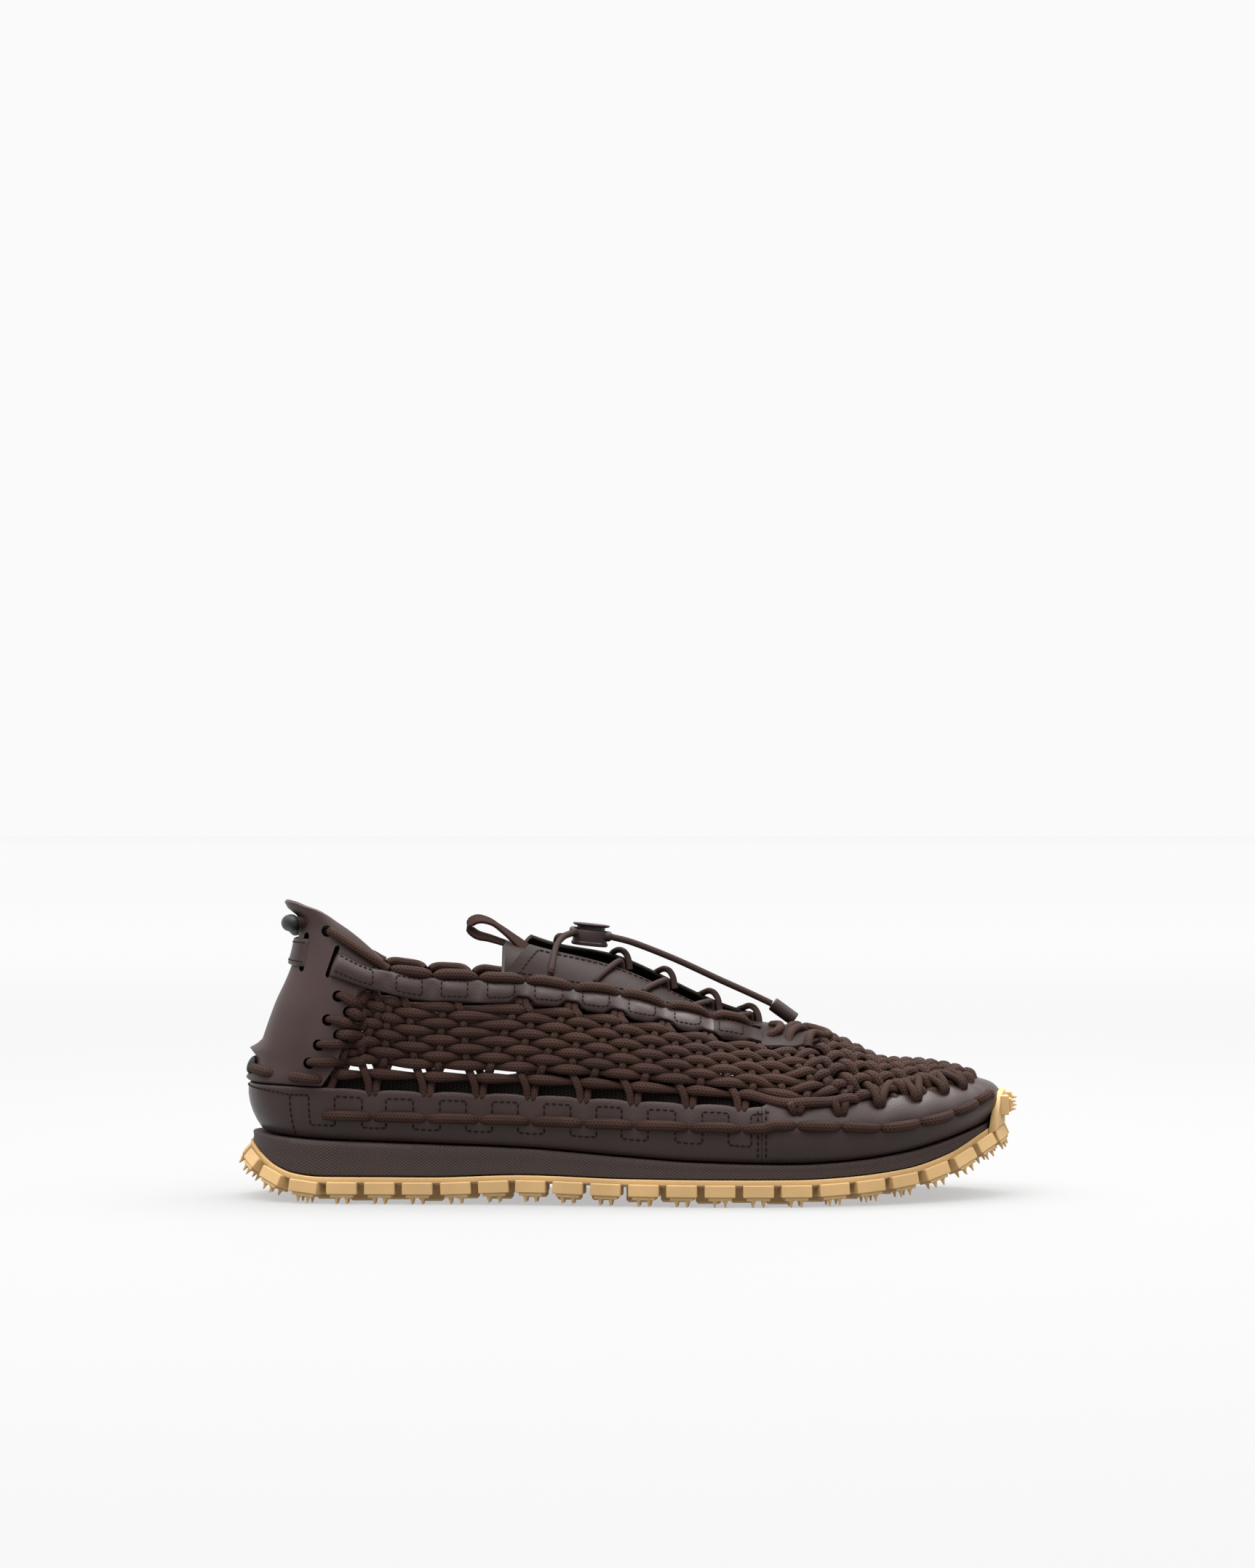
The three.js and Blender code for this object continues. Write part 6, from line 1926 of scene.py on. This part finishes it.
class SNEAKER_OT_lace(bpy.types.Operator):
    """Elastic lace through the eyelets, its cord lock, its two tails and the end piece"""

    bl_idname = "sneaker.lace"
    bl_label = "Lace"

    def execute(self, context):
        radius = context.scene.sneaker_sizes.lace / MM / 2
        lace = Shape()
        for side in SIDES:
            for number, x in enumerate(EYELET_X):
                self.crossing(lace, side, number, x, radius)
        lace.made("lace_run", "lace", "lace", "lace_crossings")
        on_tail = [self.end_piece(), self.lock()]
        for side, name in NAMED_SIDES:
            path = rounded([(x, centre_y(x) + side * TAIL_SPREAD, z) for x, z in TAIL], 1.5)
            shape = Shape()
            shape.tube(path, radius, sides=12)
            tail = shape.made(f"lace_tail_{name}_elastic", "lace", "lace", f"lace_tail_{name}")
            placed = in_row_frame(path)
        return {"FINISHED"}

    def crossing(self, lace, side, number, x, radius):
        """Lace out of one eyelet and over the edge under the other eyestay; the first goes to the lock."""
        share = EYELET_SHARES[number]
        hole = lace_spot(x, side, share, -2.2)
        out = lace_spot(x + 0.6, side, share + 0.06, radius * 0.9)
        if number == 0:
            y = centre_y(LOCK["x"])
            points = [
                hole, out, lace_spot(x + 2.2, side, 0.97, radius + 0.5), (x + 4.8, y + side * 8.5, 98.8),
                (x + 8.5, y + side * 4.2, 100.2), (LOCK["x"] - 4, y + side * 2.6, LOCK["z"] + 0.5),
            ]
        else:
            near = side == OUTER
            on_edge = min(x + (9.5 if near else 8) * (1 - 0.12 * number), EYESTAY["front"] - 2)
            edge = lace_spot(on_edge, side, 0.98, radius + (0.6 if near else -0.6))
            bend = LACE_BEND[side] * np.array((1, -side, 1))
            over = lerp(out, edge, 0.6) + np.array((0, 0, 0.3))
            points = [hole, out, over, edge, *(edge + step for step in bend)]
        lace.tube(rounded(points, 0.8), radius, hint=(0.3, 0.1, 1), sides=10)

    def lock(self):
        """Cord lock: a flanged barrel with a sprung cap and a port at each end."""
        middle = np.array((LOCK["x"], centre_y(LOCK["x"]), LOCK["z"]))
        axes = leaning(LOCK["lean"])
        shape = Shape()
        shape.turned(LOCK_PROFILE, middle, axes, 40)
        for end in (-1, 1):
            for side in SIDES:
                y, z = side * LOCK_PORT["aside"], LOCK_PORT["high"] - LOCK_PORT["fall"] * end
                port = [middle + np.array((end * x, y, z)) @ axes for x in LOCK_PORT["ends"]]
                shape.tube(port, LOCK_PORT["radii"], sides=14)
        return shape.made("cord_lock_barrel", "lock", "lock_plastic", "cord_lock", sharp=35)

    def end_piece(self):
        """End piece: a short barrel that holds both tails."""
        shape = Shape()
        shape.turned(END_PIECE_PROFILE, END_PLACE, leaning(90 + END_PIECE_FALL), 28)
        return shape.made("cord_end_barrel", "lock", "lock_plastic", "cord_end", sharp=35)


# Stage

FLOOR = ((-20, -8, 0), (20, -8, 0), (20, 14, 0), (-20, 14, 0))
BACKDROP = ((-20, 12, -0.1), (20, 12, -0.1), (20, 12, 14), (-20, 12, 14))
LIGHTS = {
    "key": {"place": (-0.3, -0.55, 1.2), "aim": (0, 0, 0.05), "size": 0.6, "power": 6},
    "top": {"place": (0.15, 0.3, 1.1), "aim": (0, 0, 0.03), "size": 0.8, "power": 10},
}
SKY_HEIGHTS = (0.1, 1.0)
SKY_STRENGTHS = (0.10, 4.5)
CAMERA_X = 0.0004
CAMERA_REACH = 100


class SNEAKER_OT_stage(bpy.types.Operator):
    """Pale floor and backdrop, soft lights and the camera"""

    bl_idname = "sneaker.stage"
    bl_label = "Stage"

    def execute(self, context):
        scene = context.scene
        scene.view_settings.view_transform = "Standard"
        colours = scene.sneaker_colours
        self.sheet("studio_floor", FLOOR, floor_look(colours.floor))
        self.sheet("studio_backdrop", BACKDROP, backdrop_look(colours.backdrop))
        scene.world = self.sky()
        for name, light in LIGHTS.items():
            self.light(name, **light)
        view = scene.sneaker_view
        camera = linked("camera", bpy.data.cameras.new("camera"))
        camera.location = (CAMERA_X, SOLID_BOX[0].y - view.distance, view.height)
        camera.rotation_euler = (math.pi / 2, 0, 0)
        camera.data.lens = view.lens
        camera.data.sensor_width = 36
        camera.data.clip_end = CAMERA_REACH
        scene.camera = camera
        return {"FINISHED"}

    def sheet(self, name, corners, look):
        mesh = bpy.data.meshes.new(name)
        mesh.from_pydata(corners, [], [(0, 1, 2, 3)])
        mesh.materials.append(look)
        linked(name, mesh)

    def sky(self):
        """Soft light from all round that is strongest from above."""
        sky = Nodes(bpy.data.worlds.new("studio"), "Background")
        height = sky.add("ShaderNodeTexCoord", {}).parts()[2]
        sky.set(Color=(1, 1, 1), Strength=height.between(*SKY_HEIGHTS, *SKY_STRENGTHS))
        return sky.owner

    def light(self, name, place, aim, size, power):
        data = bpy.data.lights.new(name, "AREA")
        data.shape = "DISK"
        data.size = size
        data.energy = power
        lamp = linked(name, data)
        lamp.location = place
        lamp.rotation_euler = (Vector(aim) - Vector(place)).to_track_quat("-Z", "Y").to_euler()


class SNEAKER_PT_panel(bpy.types.Panel):
    """Buttons for the sneaker's pieces and settings"""

    bl_label = "Woven Sneaker"
    bl_idname = "SNEAKER_PT_panel"
    bl_space_type = "VIEW_3D"
    bl_region_type = "UI"
    bl_category = "Sneaker"

    def draw(self, context):
        for step in STEPS:
            self.layout.operator(step.bl_idname)
        for name in SETTINGS:
            settings = getattr(context.scene, name)
            box = self.layout.box()
            for key in settings.bl_rna.properties.keys():
                if key not in ("rna_type", "name"):
                    box.prop(settings, key)


STEPS = (
    SNEAKER_OT_stage, SNEAKER_OT_lace, SNEAKER_OT_outsole, SNEAKER_OT_midsole, SNEAKER_OT_insole,
    SNEAKER_OT_rand, SNEAKER_OT_band, SNEAKER_OT_counter, SNEAKER_OT_lining, SNEAKER_OT_weave,
    SNEAKER_OT_running_cords, SNEAKER_OT_heel_trim, SNEAKER_OT_tongue,
)
SETTINGS = {"sneaker_sizes": SneakerSizes, "sneaker_colours": SneakerColours, "sneaker_view": SneakerView}
CLASSES = (*SETTINGS.values(), *STEPS, SNEAKER_PT_panel)


def register():
    for cls in CLASSES:
        bpy.utils.register_class(cls)
    for name, settings in SETTINGS.items():
        setattr(bpy.types.Scene, name, PointerProperty(type=settings))


def unregister():
    for name in SETTINGS:
        delattr(bpy.types.Scene, name)
    for cls in reversed(CLASSES):
        bpy.utils.unregister_class(cls)


def main():
    register()
    for step in STEPS:
        group, name = step.bl_idname.split(".")
        getattr(getattr(bpy.ops, group), name)()


if __name__ == "__main__":
    main()
